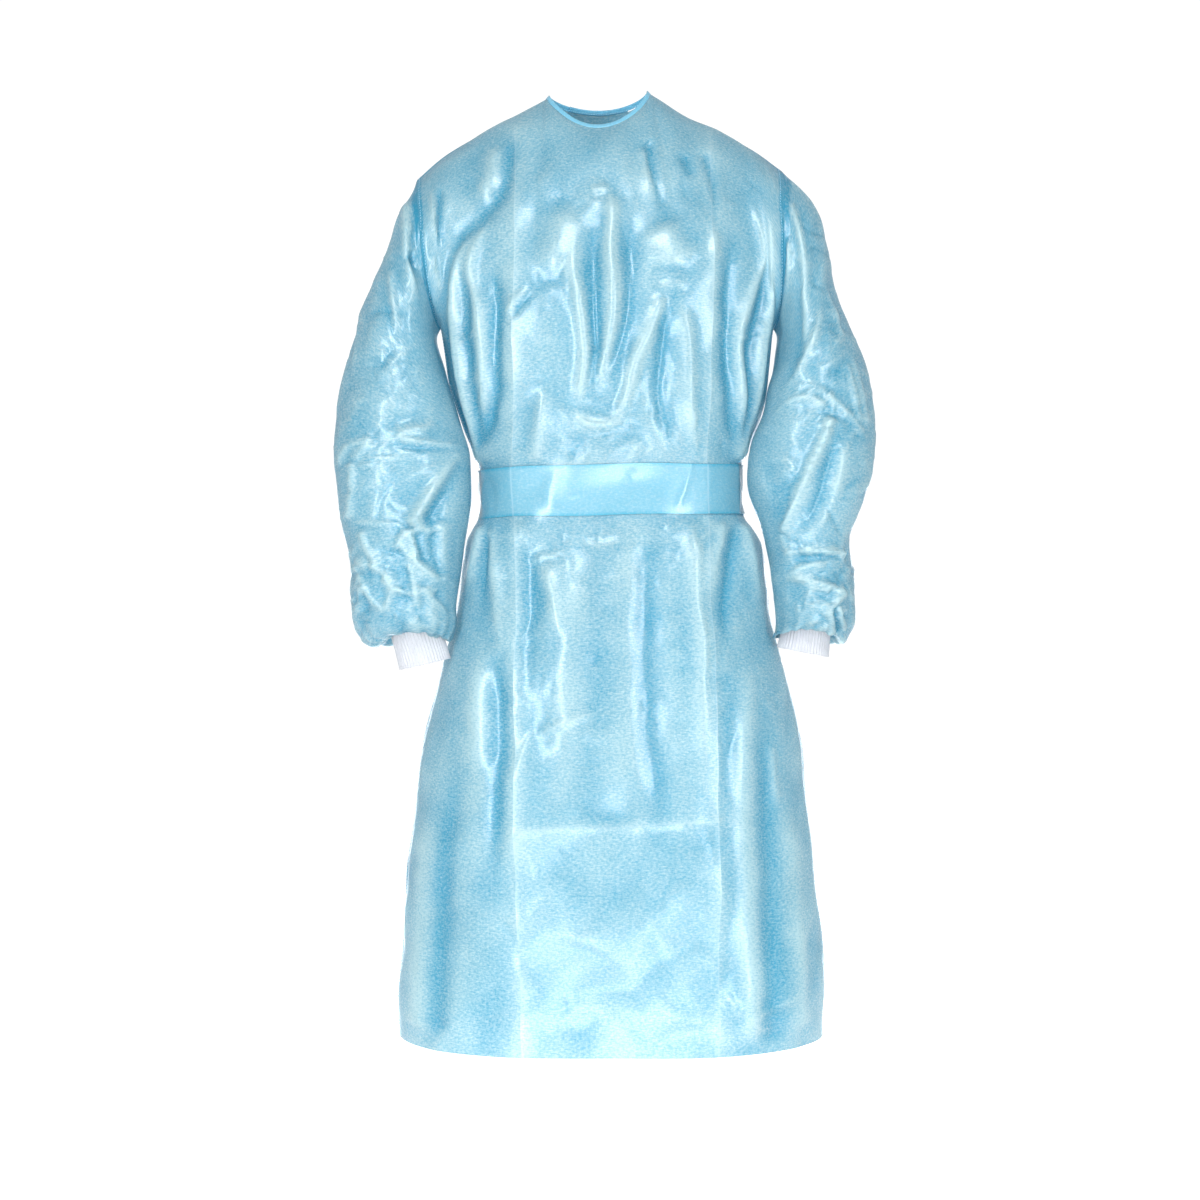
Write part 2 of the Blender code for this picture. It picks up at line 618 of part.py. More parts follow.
def main():
    """Build every piece of the gown."""
    cloth = plain_material("gown_cloth", CLOTH_BLUE, CLOTH_ROUGHNESS)
    belt_cloth = plain_material("belt_cloth", BELT_BLUE, CLOTH_ROUGHNESS)
    tape = plain_material("binding_tape", TAPE_BLUE, CLOTH_ROUGHNESS)
    knit = plain_material("cuff_knit", KNIT_WHITE, KNIT_ROUGHNESS)
    tab_cloth = plain_material("hook_and_loop", TAB_WHITE, KNIT_ROUGHNESS)
    build_panels(cloth)
    for side, word in ((RIGHT, "right"), (LEFT, "left")):
        build_sleeve(side, "sleeve_" + word, cloth)
        build_cuff(side, "cuff_" + word, knit)
        build_tail(side, "belt_tail_" + word, belt_cloth)
    build_binding(tape)
    build_belt(belt_cloth)
    build_knot(belt_cloth)
    build_tab(tab_cloth)


for old in list(bpy.data.objects):
    bpy.data.objects.remove(old, do_unlink=True)
gown_parts = bpy.data.collections.new(GOWN)
bpy.context.scene.collection.children.link(gown_parts)
main()
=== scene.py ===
# %% [markdown]
# # A chemotherapy gown, hollow and as it hangs when it is worn
#
# The real gown is cut from one roll of pale blue non-woven cloth: fine melted fibres, pressed
# flat with rows of tiny bond dots, with a thin film on them that keeps liquids out. It is
# light, a little see-through, and it keeps every crease that it was packed with. The cuffs
# are knitted, the neckline is bound with a folded tape, and a belt is tied at the back.
#
# The lesson builds each cut piece as a thin sheet of cloth on the form of its CAD solid.

import json
import math
from collections import namedtuple
from functools import partial

import bmesh
import bpy
import numpy as np
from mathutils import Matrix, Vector
from mathutils.geometry import delaunay_2d_cdt

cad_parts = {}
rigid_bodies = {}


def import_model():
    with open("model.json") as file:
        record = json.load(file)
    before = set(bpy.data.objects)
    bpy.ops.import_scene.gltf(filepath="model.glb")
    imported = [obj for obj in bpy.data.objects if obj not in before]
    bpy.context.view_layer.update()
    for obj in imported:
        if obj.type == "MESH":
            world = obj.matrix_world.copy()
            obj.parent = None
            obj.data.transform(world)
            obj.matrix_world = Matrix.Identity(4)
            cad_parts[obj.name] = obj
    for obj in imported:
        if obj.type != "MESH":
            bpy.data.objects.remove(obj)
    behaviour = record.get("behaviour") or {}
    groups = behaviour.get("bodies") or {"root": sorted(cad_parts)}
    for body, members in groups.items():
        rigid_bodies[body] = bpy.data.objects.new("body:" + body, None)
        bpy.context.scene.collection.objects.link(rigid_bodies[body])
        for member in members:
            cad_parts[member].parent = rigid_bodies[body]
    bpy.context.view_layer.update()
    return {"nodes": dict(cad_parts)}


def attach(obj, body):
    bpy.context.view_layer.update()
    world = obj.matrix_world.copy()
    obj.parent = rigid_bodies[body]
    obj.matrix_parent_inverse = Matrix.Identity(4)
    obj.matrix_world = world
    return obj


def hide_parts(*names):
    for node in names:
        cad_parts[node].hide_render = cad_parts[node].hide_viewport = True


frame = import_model()
print("CAD nodes:", ", ".join(sorted(frame["nodes"])))

# %% [markdown]
# ## The cut of the gown
#
# A garment is easiest to describe as sections, like the ribs of a boat. Each row below is one
# level section of the body: where its sides, front and back are, how flat it is across, and
# how round it is at the side seams. A smooth curve through the rows gives every level
# between them. Lengths are in metres. The front faces -Y and the wearer's left is +X.

# %% Sizes and sections of the body
HEM_Z = -1.172
ARMPIT_Z = -0.290
BELT_TOP_Z = -0.465
BELT_BOTTOM_Z = -0.527
BELT_MIDDLE_Z = (BELT_BOTTOM_Z + BELT_TOP_Z) / 2
NECK_X = -0.009
NECK_HALF_WIDTH = 0.064
NECK_FRONT_Y = -0.057
NECK_BACK_Y = 0.060
NECK_FRONT_Z = -0.050
NECK_BACK_Z = -0.012
NECK_ROUNDNESS = 1.6
NECK_SHARE = 0.33
LAP_SHARE = 0.13
LAP_DEPTH = 0.0040
LAP_EASE_SHARE = 0.20
FRONT, BACK, RIGHT, LEFT = -1, 1, -1, 1
ARC_SAMPLES = 241

BodyRow = namedtuple("BodyRow", "z right_x left_x front_y back_y flat round")
BODY_ROWS = (
    BodyRow(-1.172, -0.2560, 0.2730, -0.176, 0.152, 3.4, 1.55),
    BodyRow(-1.100, -0.2560, 0.2735, -0.172, 0.151, 3.3, 1.60),
    BodyRow(-1.000, -0.2490, 0.2640, -0.165, 0.148, 3.1, 1.65),
    BodyRow(-0.900, -0.2380, 0.2540, -0.157, 0.144, 3.0, 1.75),
    BodyRow(-0.800, -0.2250, 0.2420, -0.148, 0.139, 2.8, 1.85),
    BodyRow(-0.720, -0.2040, 0.2240, -0.141, 0.133, 2.7, 1.95),
    BodyRow(-0.660, -0.1860, 0.2080, -0.135, 0.127, 2.6, 2.00),
    BodyRow(-0.600, -0.1800, 0.2010, -0.128, 0.119, 2.5, 2.10),
    BodyRow(-0.560, -0.1730, 0.1930, -0.121, 0.112, 2.4, 2.20),
    BodyRow(-0.527, -0.1555, 0.1710, -0.115, 0.106, 2.4, 2.20),
    BodyRow(-0.496, -0.1530, 0.1690, -0.113, 0.104, 2.4, 2.20),
    BodyRow(-0.465, -0.1555, 0.1710, -0.116, 0.106, 2.4, 2.20),
    BodyRow(-0.420, -0.1760, 0.1870, -0.123, 0.112, 2.4, 2.20),
    BodyRow(-0.360, -0.1945, 0.2010, -0.130, 0.118, 2.4, 2.20),
    BodyRow(-0.290, -0.2045, 0.2100, -0.132, 0.121, 2.4, 2.20),
)

# %% The shoulder seams, and how the cloth rounds over the chest
SeamPoint = namedtuple("SeamPoint", "share x z")
SHOULDER_SEAMS = {
    RIGHT: (
        SeamPoint(0.00, -0.0725, -0.004),
        SeamPoint(0.25, -0.1120, -0.029),
        SeamPoint(0.50, -0.1560, -0.050),
        SeamPoint(0.75, -0.1980, -0.075),
        SeamPoint(1.00, -0.2350, -0.105),
    ),
    LEFT: (
        SeamPoint(0.00, 0.0555, 0.0025),
        SeamPoint(0.25, 0.0960, -0.025),
        SeamPoint(0.50, 0.1400, -0.044),
        SeamPoint(0.75, 0.1820, -0.067),
        SeamPoint(1.00, 0.2200, -0.094),
    ),
}
Handle = namedtuple("Handle", "out up aside")
CHEST_HANDLE = Handle(0.004, 0.105, 0.0)
ARMHOLE_LOW_HANDLE = Handle(0.088, 0.012, 0.012)
SEAM_HANDLE = Handle(0.062, -0.004, 0.0)
NECK_HANDLE = Handle(0.030, -0.022, 0.0)
ARMHOLE_TOP_HANDLE = Handle(0.092, -0.030, 0.0)
ARMHOLE_BLEND = (0.50, 1.0)
NECK_BLEND = (0.14, 0.46)

# %% Curves through the tables
def smooth(value, low, high):
    """Rise from 0 at low to 1 at high with no kink."""
    share = np.clip((value - low) / (high - low), 0.0, 1.0)
    return share * share * (3.0 - 2.0 * share)


def through_table(table, keys, key):
    """A smooth curve through the rows of a table, read at one key or at many."""
    key = np.atleast_1d(np.asarray(key, dtype=float))
    slopes = np.gradient(table, keys, axis=0)
    low = np.clip(np.searchsorted(keys, key) - 1, 0, len(keys) - 2)
    span = (keys[low + 1] - keys[low]).reshape(-1, *([1] * (table.ndim - 1)))
    t = (key - keys[low]).reshape(span.shape) / span
    return (
        (2 * t**3 - 3 * t**2 + 1) * table[low]
        + (t**3 - 2 * t**2 + t) * span * slopes[low]
        + (3 * t**2 - 2 * t**3) * table[low + 1]
        + (t**3 - t**2) * span * slopes[low + 1]
    )


def section(z, shares, face):
    """Points of the body at one height; shares run -1 to 1 along a half of its girth."""
    table = np.array(BODY_ROWS, dtype=float)
    row = BodyRow(*through_table(table, table[:, 0], z)[0])
    half_width = (row.left_x - row.right_x) / 2
    middle_x = (row.left_x + row.right_x) / 2
    depth = row.back_y if face == BACK else -row.front_y
    turn = np.linspace(0.0, math.pi / 2, ARC_SAMPLES)
    across = half_width * np.sin(turn) ** (2.0 / row.flat)
    out = depth * np.clip(np.cos(turn), 0.0, 1.0) ** (2.0 / row.round)
    steps = np.hypot(np.diff(across), np.diff(out))
    travelled = np.concatenate(([0.0], np.cumsum(steps)))
    travelled /= travelled[-1]
    x = middle_x + np.sign(shares) * np.interp(np.abs(shares), travelled, across)
    y = face * np.interp(np.abs(shares), travelled, out)
    return np.column_stack((x, y, np.full_like(x, z)))


# %% The neckline and the columns above the armpits
def neckline(shares, face):
    """Points of the neck's edge; shares run -1 to 1 between the two shoulder seams."""
    turn = np.asarray(shares) * math.pi / 2
    depth = abs(NECK_FRONT_Y) if face == FRONT else NECK_BACK_Y
    drop = NECK_FRONT_Z if face == FRONT else NECK_BACK_Z
    ends = (SHOULDER_SEAMS[RIGHT][0].z, SHOULDER_SEAMS[LEFT][0].z)
    level = np.interp(shares, (-1.0, 1.0), ends)
    rounding = np.clip(np.cos(turn), 0.0, 1.0)
    z = level + (drop - level) * rounding**NECK_ROUNDNESS
    return np.column_stack((NECK_X + NECK_HALF_WIDTH * np.sin(turn), face * depth * rounding, z))


def top_edge(shares, face):
    """The panel's top: shoulder seam, neckline, shoulder seam."""
    points = neckline(np.clip(shares / NECK_SHARE, -1.0, 1.0), face)
    for side in (RIGHT, LEFT):
        table = np.array(SHOULDER_SEAMS[side], dtype=float)
        on_seam = shares * side > NECK_SHARE
        along = (np.abs(shares[on_seam]) - NECK_SHARE) / (1.0 - NECK_SHARE)
        seam = through_table(table, table[:, 0], along)
        points[on_seam] = np.column_stack((seam[:, 1], np.zeros(len(seam)), seam[:, 2]))
    return points


def handle_point(end, handle, shares, face):
    """Where a handle puts the second point of the columns' ends."""
    step = np.zeros_like(end)
    step[:, 0] = handle.aside * np.sign(shares)
    step[:, 1] = handle.out * face
    step[:, 2] = handle.up
    return end + step


def shoulder_columns(shares, rises, face):
    """Columns from the armpit section up to the top edge, rounded over the chest or back."""
    low = section(ARMPIT_Z, shares, face)
    high = top_edge(shares, face)
    size = np.abs(shares)[:, None]
    at_armhole = smooth(size, *ARMHOLE_BLEND)
    at_neck = 1.0 - smooth(size, *NECK_BLEND)
    chest = handle_point(low, CHEST_HANDLE, shares, face)
    armhole_low = handle_point(low, ARMHOLE_LOW_HANDLE, shares, face)
    seam = handle_point(high, SEAM_HANDLE, shares, face)
    neck = handle_point(high, NECK_HANDLE, shares, face)
    armhole_top = handle_point(high, ARMHOLE_TOP_HANDLE, shares, face)
    low_handle = chest + at_armhole**3 * (armhole_low - chest)
    high_handle = seam + at_armhole**2 * (armhole_top - seam)
    high_handle = high_handle + at_neck * (neck - high_handle)
    t = np.asarray(rises)[:, None, None]
    return (
        (1 - t) ** 3 * low
        + 3 * (1 - t) ** 2 * t * low_handle
        + 3 * (1 - t) * t**2 * high_handle
        + t**3 * high
    )


# %% [markdown]
# ## Folds and creases, listed one by one
#
# Thin film cloth shows two kinds of line. A soft fold hangs between two places that hold it,
# such as an armhole and the end of the belt. A packing crease is a sharp line that the folded
# gown kept from its packet. Each fold below is a line on the gown, seen from the front, in
# millimetres from the neck point across and up, with its height (negative for a hollow) and
# its width. `skew` makes its outer side gentler than its inner side, `sharp` turns its round
# crest into a crisp one, and `rise` and `fall` are the shares of its length over which it
# comes and goes. The lists are uneven on purpose, because cloth is.

# %% How a fold is described
Fold = namedtuple("Fold", "height width skew sharp rise fall points")
PackCrease = namedtuple("PackCrease", "height width points")
MM = 0.001
FOLD_STEPS = 20
FOLD_REACH = 4.0
CREST_ROUNDING = 0.03
CREST_FALL = 1.5
EXTRA_SHARP = 0.22
FOLD_GAIN = 1.2


def smooth_line(points, steps):
    """A smooth line through a fold's points, in metres."""
    table = np.array(points, dtype=float) * MM
    if len(table) == 2:
        return table[0] + np.linspace(0.0, 1.0, steps + 1)[:, None] * (table[1] - table[0])
    travelled = np.concatenate(([0.0], np.cumsum(np.hypot(*np.diff(table, axis=0).T))))
    return through_table(table, travelled, np.linspace(0.0, travelled[-1], steps + 1))


def from_line(x, z, line):
    """For each point: its distance from a line, its side of it, and its share along it."""
    nearest = np.full(x.shape, np.inf)
    side = np.zeros_like(x)
    share = np.zeros_like(x)
    lengths = np.hypot(*np.diff(line, axis=0).T)
    travelled = np.concatenate(([0.0], np.cumsum(lengths)))
    for index, (start, end) in enumerate(zip(line[:-1], line[1:])):
        step = end - start
        t = ((x - start[0]) * step[0] + (z - start[1]) * step[1]) / lengths[index] ** 2
        t = np.clip(t, 0.0, 1.0)
        away_x = x - start[0] - t * step[0]
        away_z = z - start[1] - t * step[1]
        distance = np.hypot(away_x, away_z)
        closer = distance < nearest
        nearest = np.where(closer, distance, nearest)
        side = np.where(closer, np.sign(away_z * step[0] - away_x * step[1]), side)
        share = np.where(closer, (travelled[index] + t * lengths[index]) / travelled[-1], share)
    return nearest, side, share


# %% The height that a list of folds gives a sheet
def crest(distance, sharp):
    """A fold's cross-section: a round hill, or a crisp crest with soft flanks."""
    hill = np.exp(-(distance**2))
    rounded = np.sqrt(distance**2 + CREST_ROUNDING) - math.sqrt(CREST_ROUNDING)
    tent = np.exp(-CREST_FALL * rounded)
    return (1.0 - sharp) * hill + sharp * tent


def fold_height(x, z, folds):
    """The height at each point of a sheet, in metres."""
    total = np.zeros_like(x)
    for fold in folds:
        line = smooth_line(fold.points, FOLD_STEPS)
        reach = FOLD_REACH * fold.width * MM
        low = line.min(axis=0) - reach
        high = line.max(axis=0) + reach
        near = (x > low[0]) & (x < high[0]) & (z > low[1]) & (z < high[1])
        distance, side, share = from_line(x[near], z[near], line)
        width = fold.width * MM * np.where(side > 0, fold.skew**-0.5, fold.skew**0.5)
        ends = smooth(share, 0.0, fold.rise) * (1.0 - smooth(share, 1.0 - fold.fall, 1.0))
        sharp = min(1.0, fold.sharp + EXTRA_SHARP)
        total[near] += fold.height * MM * FOLD_GAIN * ends * crest(distance / width, sharp)
    return total


# %% Folds of the front above the belt
CHEST_FOLDS = (
    # long fold from the chest to the belt's end
    Fold(8, 9, 0.7, 0.55, 0.35, 0.08, (
        (-141, -158), (-168, -194), (-181, -230), (-184, -269), (-180, -329), (-169, -393),
        (-151, -471))),
    Fold(5, 7, 1, 0.5, 0.3, 0.2, (
        (-130, -153), (-154, -194), (-162, -223), (-154, -279), (-149, -354), (-148, -425))),
    Fold(-6, 9, 1, 0.3, 0.3, 0.15, ((-170, -223), (-171, -293), (-163, -377), (-151, -461))),
    Fold(-6, 11, 1, 0.2, 0.3, 0.2, ((-134, -209), (-130, -293), (-136, -377), (-146, -455))),
    Fold(-7, 9, 1, 0.4, 0.3, 0.1, ((-199, -269), (-192, -341), (-177, -413), (-159, -469))),
    # hollow from the neck to the armhole
    Fold(-4.5, 14, 1, 0, 0.2, 0.3, (
        (-110, -43), (-116, -88), (-123, -124), (-146, -158), (-172, -187), (-190, -223))),
    Fold(3, 12, 1, 0, 0.3, 0.3, ((-136, -67), (-139, -112), (-158, -148))),
    # short pleats beside the armhole
    Fold(4, 4, 1, 0.8, 0.2, 0.2, ((-214, -122), (-211, -155), (-202, -200))),
    Fold(-5, 5, 1, 0.5, 0.2, 0.2, ((-207, -120), (-204, -161), (-201, -201))),
    Fold(3.5, 4, 1, 0.8, 0.3, 0.2, ((-210, -207), (-207, -230), (-201, -252))),
    # folds that hang in loops on the chest
    Fold(6, 9, 0.8, 0.5, 0.1, 0.25, ((8, -136), (5, -209), (11, -279), (-1, -341), (-10, -387))),
    Fold(5.5, 9, 1.2, 0.4, 0.3, 0.2, (
        (-34, -179), (-38, -223), (-30, -269), (-24, -323), (-30, -383), (-34, -405))),
    Fold(4.5, 8, 1, 0.4, 0.3, 0.3, ((-34, -395), (-27, -412), (-6, -418), (15, -412), (24, -399))),
    Fold(-6, 9, 1, 0.3, 0.3, 0.3, ((-16, -167), (-13, -257), (-11, -329), (-18, -383))),
    Fold(-5.5, 13, 1, 0.1, 0.3, 0.3, ((27, -155), (31, -233), (25, -305), (8, -371))),
    Fold(6, 9, 1, 0.4, 0.15, 0.2, ((67, -257), (54, -306), (39, -341), (25, -387), (9, -415))),
    Fold(-6, 12, 1, 0.2, 0.2, 0.3, ((76, -269), (71, -329), (68, -389), (80, -455))),
    Fold(5, 10, 1, 0.4, 0.2, 0.3, ((90, -263), (100, -323), (102, -405), (113, -464))),
    Fold(3, 6, 1, 0.6, 0.3, 0.3, ((60, -257), (76, -250), (100, -252))),
    Fold(1.8, 4, 1, 0.6, 0.3, 0.3, ((54, -226), (76, -223), (107, -228))),
    Fold(1.5, 3.5, 1, 0.6, 0.3, 0.3, ((56, -239), (78, -238), (102, -241))),
    # full places on the chest
    Fold(5, 22, 1, 0, 0.3, 0.3, ((-40, -148), (-54, -197), (-64, -251))),
    Fold(5, 22, 1, 0, 0.3, 0.3, ((66, -170), (80, -203), (90, -233))),
    Fold(3, 5, 1, 0.6, 0.2, 0.3, ((-18, -135), (-5, -133), (8, -136))),
    # pulls below the neck binding
    Fold(-3.5, 7, 1, 0.3, 0.1, 0.4, ((52, -65), (56, -100), (67, -144), (80, -168))),
    Fold(3, 6, 1, 0.5, 0.15, 0.35, ((46, -76), (52, -112), (61, -153))),
    Fold(-2.5, 8, 1, 0.2, 0.2, 0.4, ((95, -83), (100, -100), (107, -120))),
    Fold(-3, 7, 1, 0.4, 0.1, 0.4, ((120, -79), (126, -100), (131, -136), (131, -182))),
    # the same on the wearer's left
    Fold(8, 9, 1.4, 0.55, 0.3, 0.08, (
        (182, -121), (200, -159), (206, -209), (203, -251), (191, -316), (183, -384),
        (163, -467))),
    Fold(5, 7, 1, 0.5, 0.25, 0.2, (
        (177, -127), (191, -179), (194, -200), (179, -251), (163, -305), (167, -377),
        (167, -449))),
    Fold(-6, 8, 1, 0.3, 0.3, 0.15, (
        (194, -209), (189, -269), (177, -323), (176, -389), (167, -455))),
    Fold(-6, 12, 1, 0.2, 0.3, 0.2, (
        (165, -167), (150, -221), (147, -305), (151, -389), (161, -455))),
    Fold(3, 5, 1, 0.6, 0.3, 0.3, ((133, -182), (129, -223))),
    # small creases
    Fold(3.5, 4, 1, 0.7, 0.25, 0.25, ((-116, -288), (-110, -272), (-91, -256))),
    Fold(-3, 4.5, 1, 0.4, 0.3, 0.3, ((-111, -293), (-101, -275), (-87, -262))),
    Fold(1.6, 3, 1, 0.8, 0.3, 0.3, ((-180, -319), (-168, -310), (-153, -304))),
    Fold(1.6, 3, 1, 0.8, 0.3, 0.3, ((138, -300), (162, -309), (189, -309))),
    Fold(1.5, 3, 1, 0.8, 0.3, 0.3, ((157, -376), (173, -376))),
    # soft folds into the belt
    Fold(3.5, 10, 1, 0.2, 0.3, 0.1, ((-72, -365), (-78, -413), (-83, -471))),
    Fold(-3, 10, 1, 0.2, 0.3, 0.1, ((-30, -425), (-40, -471))),
    Fold(2.5, 9, 1, 0.2, 0.3, 0.1, ((37, -433), (27, -471))),
)

# %% Folds of the front below the belt
SKIRT_FOLDS = (
    # folds that fan out below the belt's ends
    Fold(5, 8, 0.8, 0.5, 0.08, 0.5, ((-148, -539), (-156, -564), (-166, -600), (-175, -630))),
    Fold(4, 9, 1, 0.3, 0.08, 0.5, ((-142, -539), (-135, -582), (-129, -630), (-128, -701))),
    Fold(-5, 8, 1, 0.3, 0.1, 0.5, ((-144, -539), (-147, -588), (-152, -654))),
    Fold(-4, 9, 1, 0.3, 0.1, 0.5, ((158, -535), (152, -582), (145, -642), (141, -713))),
    Fold(4.5, 9, 1, 0.3, 0.08, 0.5, ((163, -535), (175, -564), (184, -606), (191, -654))),
    Fold(3.5, 9, 1, 0.3, 0.1, 0.5, ((141, -535), (132, -582), (127, -630))),
    # broad soft folds down the skirt
    Fold(6, 26, 1, 0, 0.2, 0.4, ((-40, -559), (-42, -678), (-48, -797), (-54, -916))),
    Fold(-7, 22, 1, 0, 0.15, 0.4, ((56, -541), (51, -678), (59, -821), (75, -964))),
    Fold(5, 14, 1, 0.1, 0.15, 0.5, ((106, -537), (110, -630), (115, -749), (120, -868))),
    Fold(-4, 14, 1, 0, 0.2, 0.5, ((-90, -547), (-92, -654), (-94, -773))),
    Fold(3.5, 9, 1, 0.2, 0.2, 0.4, ((-72, -582), (-63, -630), (-54, -678))),
    Fold(4, 14, 1, 0.1, 0.3, 0.4, ((-147, -678), (-154, -773), (-159, -856))),
    Fold(-5, 14, 1, 0, 0.3, 0.4, ((-125, -678), (-128, -821), (-135, -987))),
    Fold(-4, 16, 1, 0, 0.3, 0.05, ((-183, -821), (-197, -987), (-206, -1154))),
    Fold(3.5, 16, 1, 0, 0.3, 0.05, ((-215, -868), (-223, -987), (-228, -1154))),
    Fold(4, 14, 1, 0, 0.2, 0.05, ((175, -678), (166, -821), (170, -987), (175, -1166))),
    Fold(-4, 14, 1, 0, 0.3, 0.05, ((196, -749), (199, -928), (203, -1166))),
    Fold(3.5, 12, 1, 0, 0.3, 0.05, ((220, -868), (232, -987), (239, -1154))),
    Fold(3, 6, 1, 0.3, 0.2, 0.3, ((199, -799), (205, -844), (212, -885))),
    # small creases
    Fold(2, 3.5, 1, 0.6, 0.2, 0.3, ((101, -539), (106, -564), (112, -579))),
    Fold(1.5, 3, 1, 0.6, 0.3, 0.3, ((113, -630), (116, -678), (115, -725))),
    Fold(1.6, 4, 1, 0.6, 0.3, 0.3, ((-100, -587), (-72, -578), (-43, -572))),
    Fold(1.6, 4, 1, 0.6, 0.3, 0.3, ((-40, -559), (-6, -564), (27, -555))),
    Fold(2, 4, 1, 0.6, 0.3, 0.3, ((-93, -799), (-59, -782), (-24, -769), (1, -762))),
    Fold(1.5, 4, 1, 0.6, 0.3, 0.3, ((-106, -838), (-97, -809), (-85, -782))),
    Fold(2.5, 5, 1, 0.6, 0.2, 0.2, ((162, -1133), (181, -1127), (201, -1121), (238, -1108))),
    Fold(2, 4, 1, 0.6, 0.2, 0.2, ((137, -1098), (147, -1105), (159, -1129))),
    Fold(1.8, 4, 1, 0.6, 0.2, 0.2, ((166, -1135), (184, -1142), (206, -1145))),
)

# %% The packing creases of the front
PACK_CREASES = (
    # down the wearer's right
    PackCrease(4.5, 28, (
        (-109, -53), (-109, -271), (-110, -450), (-107, -582), (-107, -905), (-103, -1025),
        (-95, -1183))),
    # down the wearer's left
    PackCrease(4.5, 28, (
        (129, -53), (129, -235), (125, -390), (122, -448), (121, -501), (124, -586),
        (129, -696), (134, -870), (135, -989), (133, -1183))),
    # across the skirt
    PackCrease(2.2, 5, (
        (-107, -907), (-39, -901), (18, -901), (66, -897), (135, -895))),
)

# %% [markdown]
# ## From a table of sections to a sheet of cloth
#
# A sheet is a grid of points. First comes the plain form, then its folds are added along the
# outward direction at each point. Thin film also has many small crisp creases that nobody
# could place one by one, so a seeded draw scatters short ones of uneven length over a panel.
# Crumpled film breaks into flat facets as well: uneven points, joined into triangles.

# %% Small creases, scattered with a fixed seed
Scatter = namedtuple("Scatter", "count seed low high length height width lean")
SCATTER_BEND = 0.25
SCATTER_SHARP = (0.4, 1.0)
SCATTER_ENDS = 0.4


def scattered(scatter):
    """Short creases drawn in a box; lean is the share of a half turn that they may turn."""
    draw = np.random.default_rng(scatter.seed)
    folds = []
    for _ in range(scatter.count):
        middle = draw.uniform(scatter.low, scatter.high)
        turn = math.pi / 2 + draw.uniform(-1.0, 1.0) * math.pi / 2 * scatter.lean
        half = draw.uniform(*scatter.length) / 2
        along = np.array((math.cos(turn), math.sin(turn))) * half
        bend = np.array((-along[1], along[0])) * draw.uniform(-SCATTER_BEND, SCATTER_BEND)
        height = draw.uniform(*scatter.height) * draw.choice((-1.0, 1.0))
        points = (tuple(middle - along), tuple(middle + bend), tuple(middle + along))
        width, sharp = draw.uniform(*scatter.width), draw.uniform(*SCATTER_SHARP)
        folds.append(Fold(height, width, 1.0, sharp, SCATTER_ENDS, SCATTER_ENDS, points))
    return folds


def scattered_height(x, z, scatters):
    """The height of several such draws at each point."""
    return sum(fold_height(x, z, scattered(scatter)) for scatter in scatters)


# %% Crumpled facets
Facets = namedtuple("Facets", "spacing height seed")
CORNER_PLACES = (0.08, 0.92)


def facets(u, v, size, around=None):
    """Flat facets with crisp creases between uneven points, as crumpled film has.

    around is the length after which u closes on itself, for a tube.
    """
    draw = np.random.default_rng(size.seed)
    low = np.array((u.min(), v.min())) - size.spacing
    high = np.array((u.max(), v.max())) + size.spacing
    if around:
        low[0], high[0] = 0.0, around
    counts = np.ceil((high - low) / size.spacing).astype(int)
    cell = (high - low) / counts
    cells = np.stack(np.meshgrid(*map(np.arange, counts), indexing="ij"), -1).reshape(-1, 2)
    corners = low + (cells + draw.uniform(*CORNER_PLACES, cells.shape)) * cell
    rises = draw.uniform(-size.height, size.height, len(corners))
    if around:
        corners = np.concatenate([corners + (shift * around, 0.0) for shift in (-1, 0, 1)])
        rises = np.tile(rises, 3)
    flat = delaunay_2d_cdt([Vector(corner) for corner in corners], [], [], 0, 1e-9)
    spots, triangles, sources = flat[0], flat[2], flat[3]
    total = np.zeros_like(u)
    for triangle in triangles:
        (au, av), (bu, bv), (cu, cv) = (spots[index] for index in triangle)
        a, b, c = (rises[sources[index][0]] for index in triangle)
        low_u, high_u = min(au, bu, cu), max(au, bu, cu)
        low_v, high_v = min(av, bv, cv), max(av, bv, cv)
        near = (u >= low_u) & (u <= high_u) & (v >= low_v) & (v <= high_v)
        area = (bu - au) * (cv - av) - (cu - au) * (bv - av)
        share_b = ((u[near] - au) * (cv - av) - (cu - au) * (v[near] - av)) / area
        share_c = ((bu - au) * (v[near] - av) - (u[near] - au) * (bv - av)) / area
        inside = (share_b >= 0.0) & (share_c >= 0.0) & (share_b + share_c <= 1.0)
        value = a + (b - a) * share_b + (c - a) * share_c
        total[near] = np.where(inside, value, total[near])
    return total


# %% Directions, lengths and a light smoothing for a grid of points
def outward(grid, face):
    """Unit normals of a grid whose columns run towards +X, pointing away from the body."""
    normal = np.cross(np.gradient(grid, axis=1), np.gradient(grid, axis=0)) * -face
    return normal / np.linalg.norm(normal, axis=2, keepdims=True)


def relaxed(grid, times):
    """The grid with small kinks evened out; its edges stay where they are."""
    for _ in range(times):
        inner = grid[1:-1, 1:-1]
        around = grid[:-2, 1:-1] + grid[2:, 1:-1] + grid[1:-1, :-2] + grid[1:-1, 2:]
        grid = grid.copy()
        grid[1:-1, 1:-1] = inner / 2 + around / 8
    return grid


def cloth_lengths(grid):
    """Each point's place in the flat cut: metres across from the middle column, and up."""
    across = np.linalg.norm(np.diff(grid, axis=1), axis=2)
    up = np.linalg.norm(np.diff(grid, axis=0), axis=2)
    u = np.zeros(grid.shape[:2])
    v = np.zeros(grid.shape[:2])
    u[:, 1:] = np.cumsum(across, axis=1)
    v[1:] = np.cumsum(up, axis=0)
    return u - u[:, [u.shape[1] // 2]], v


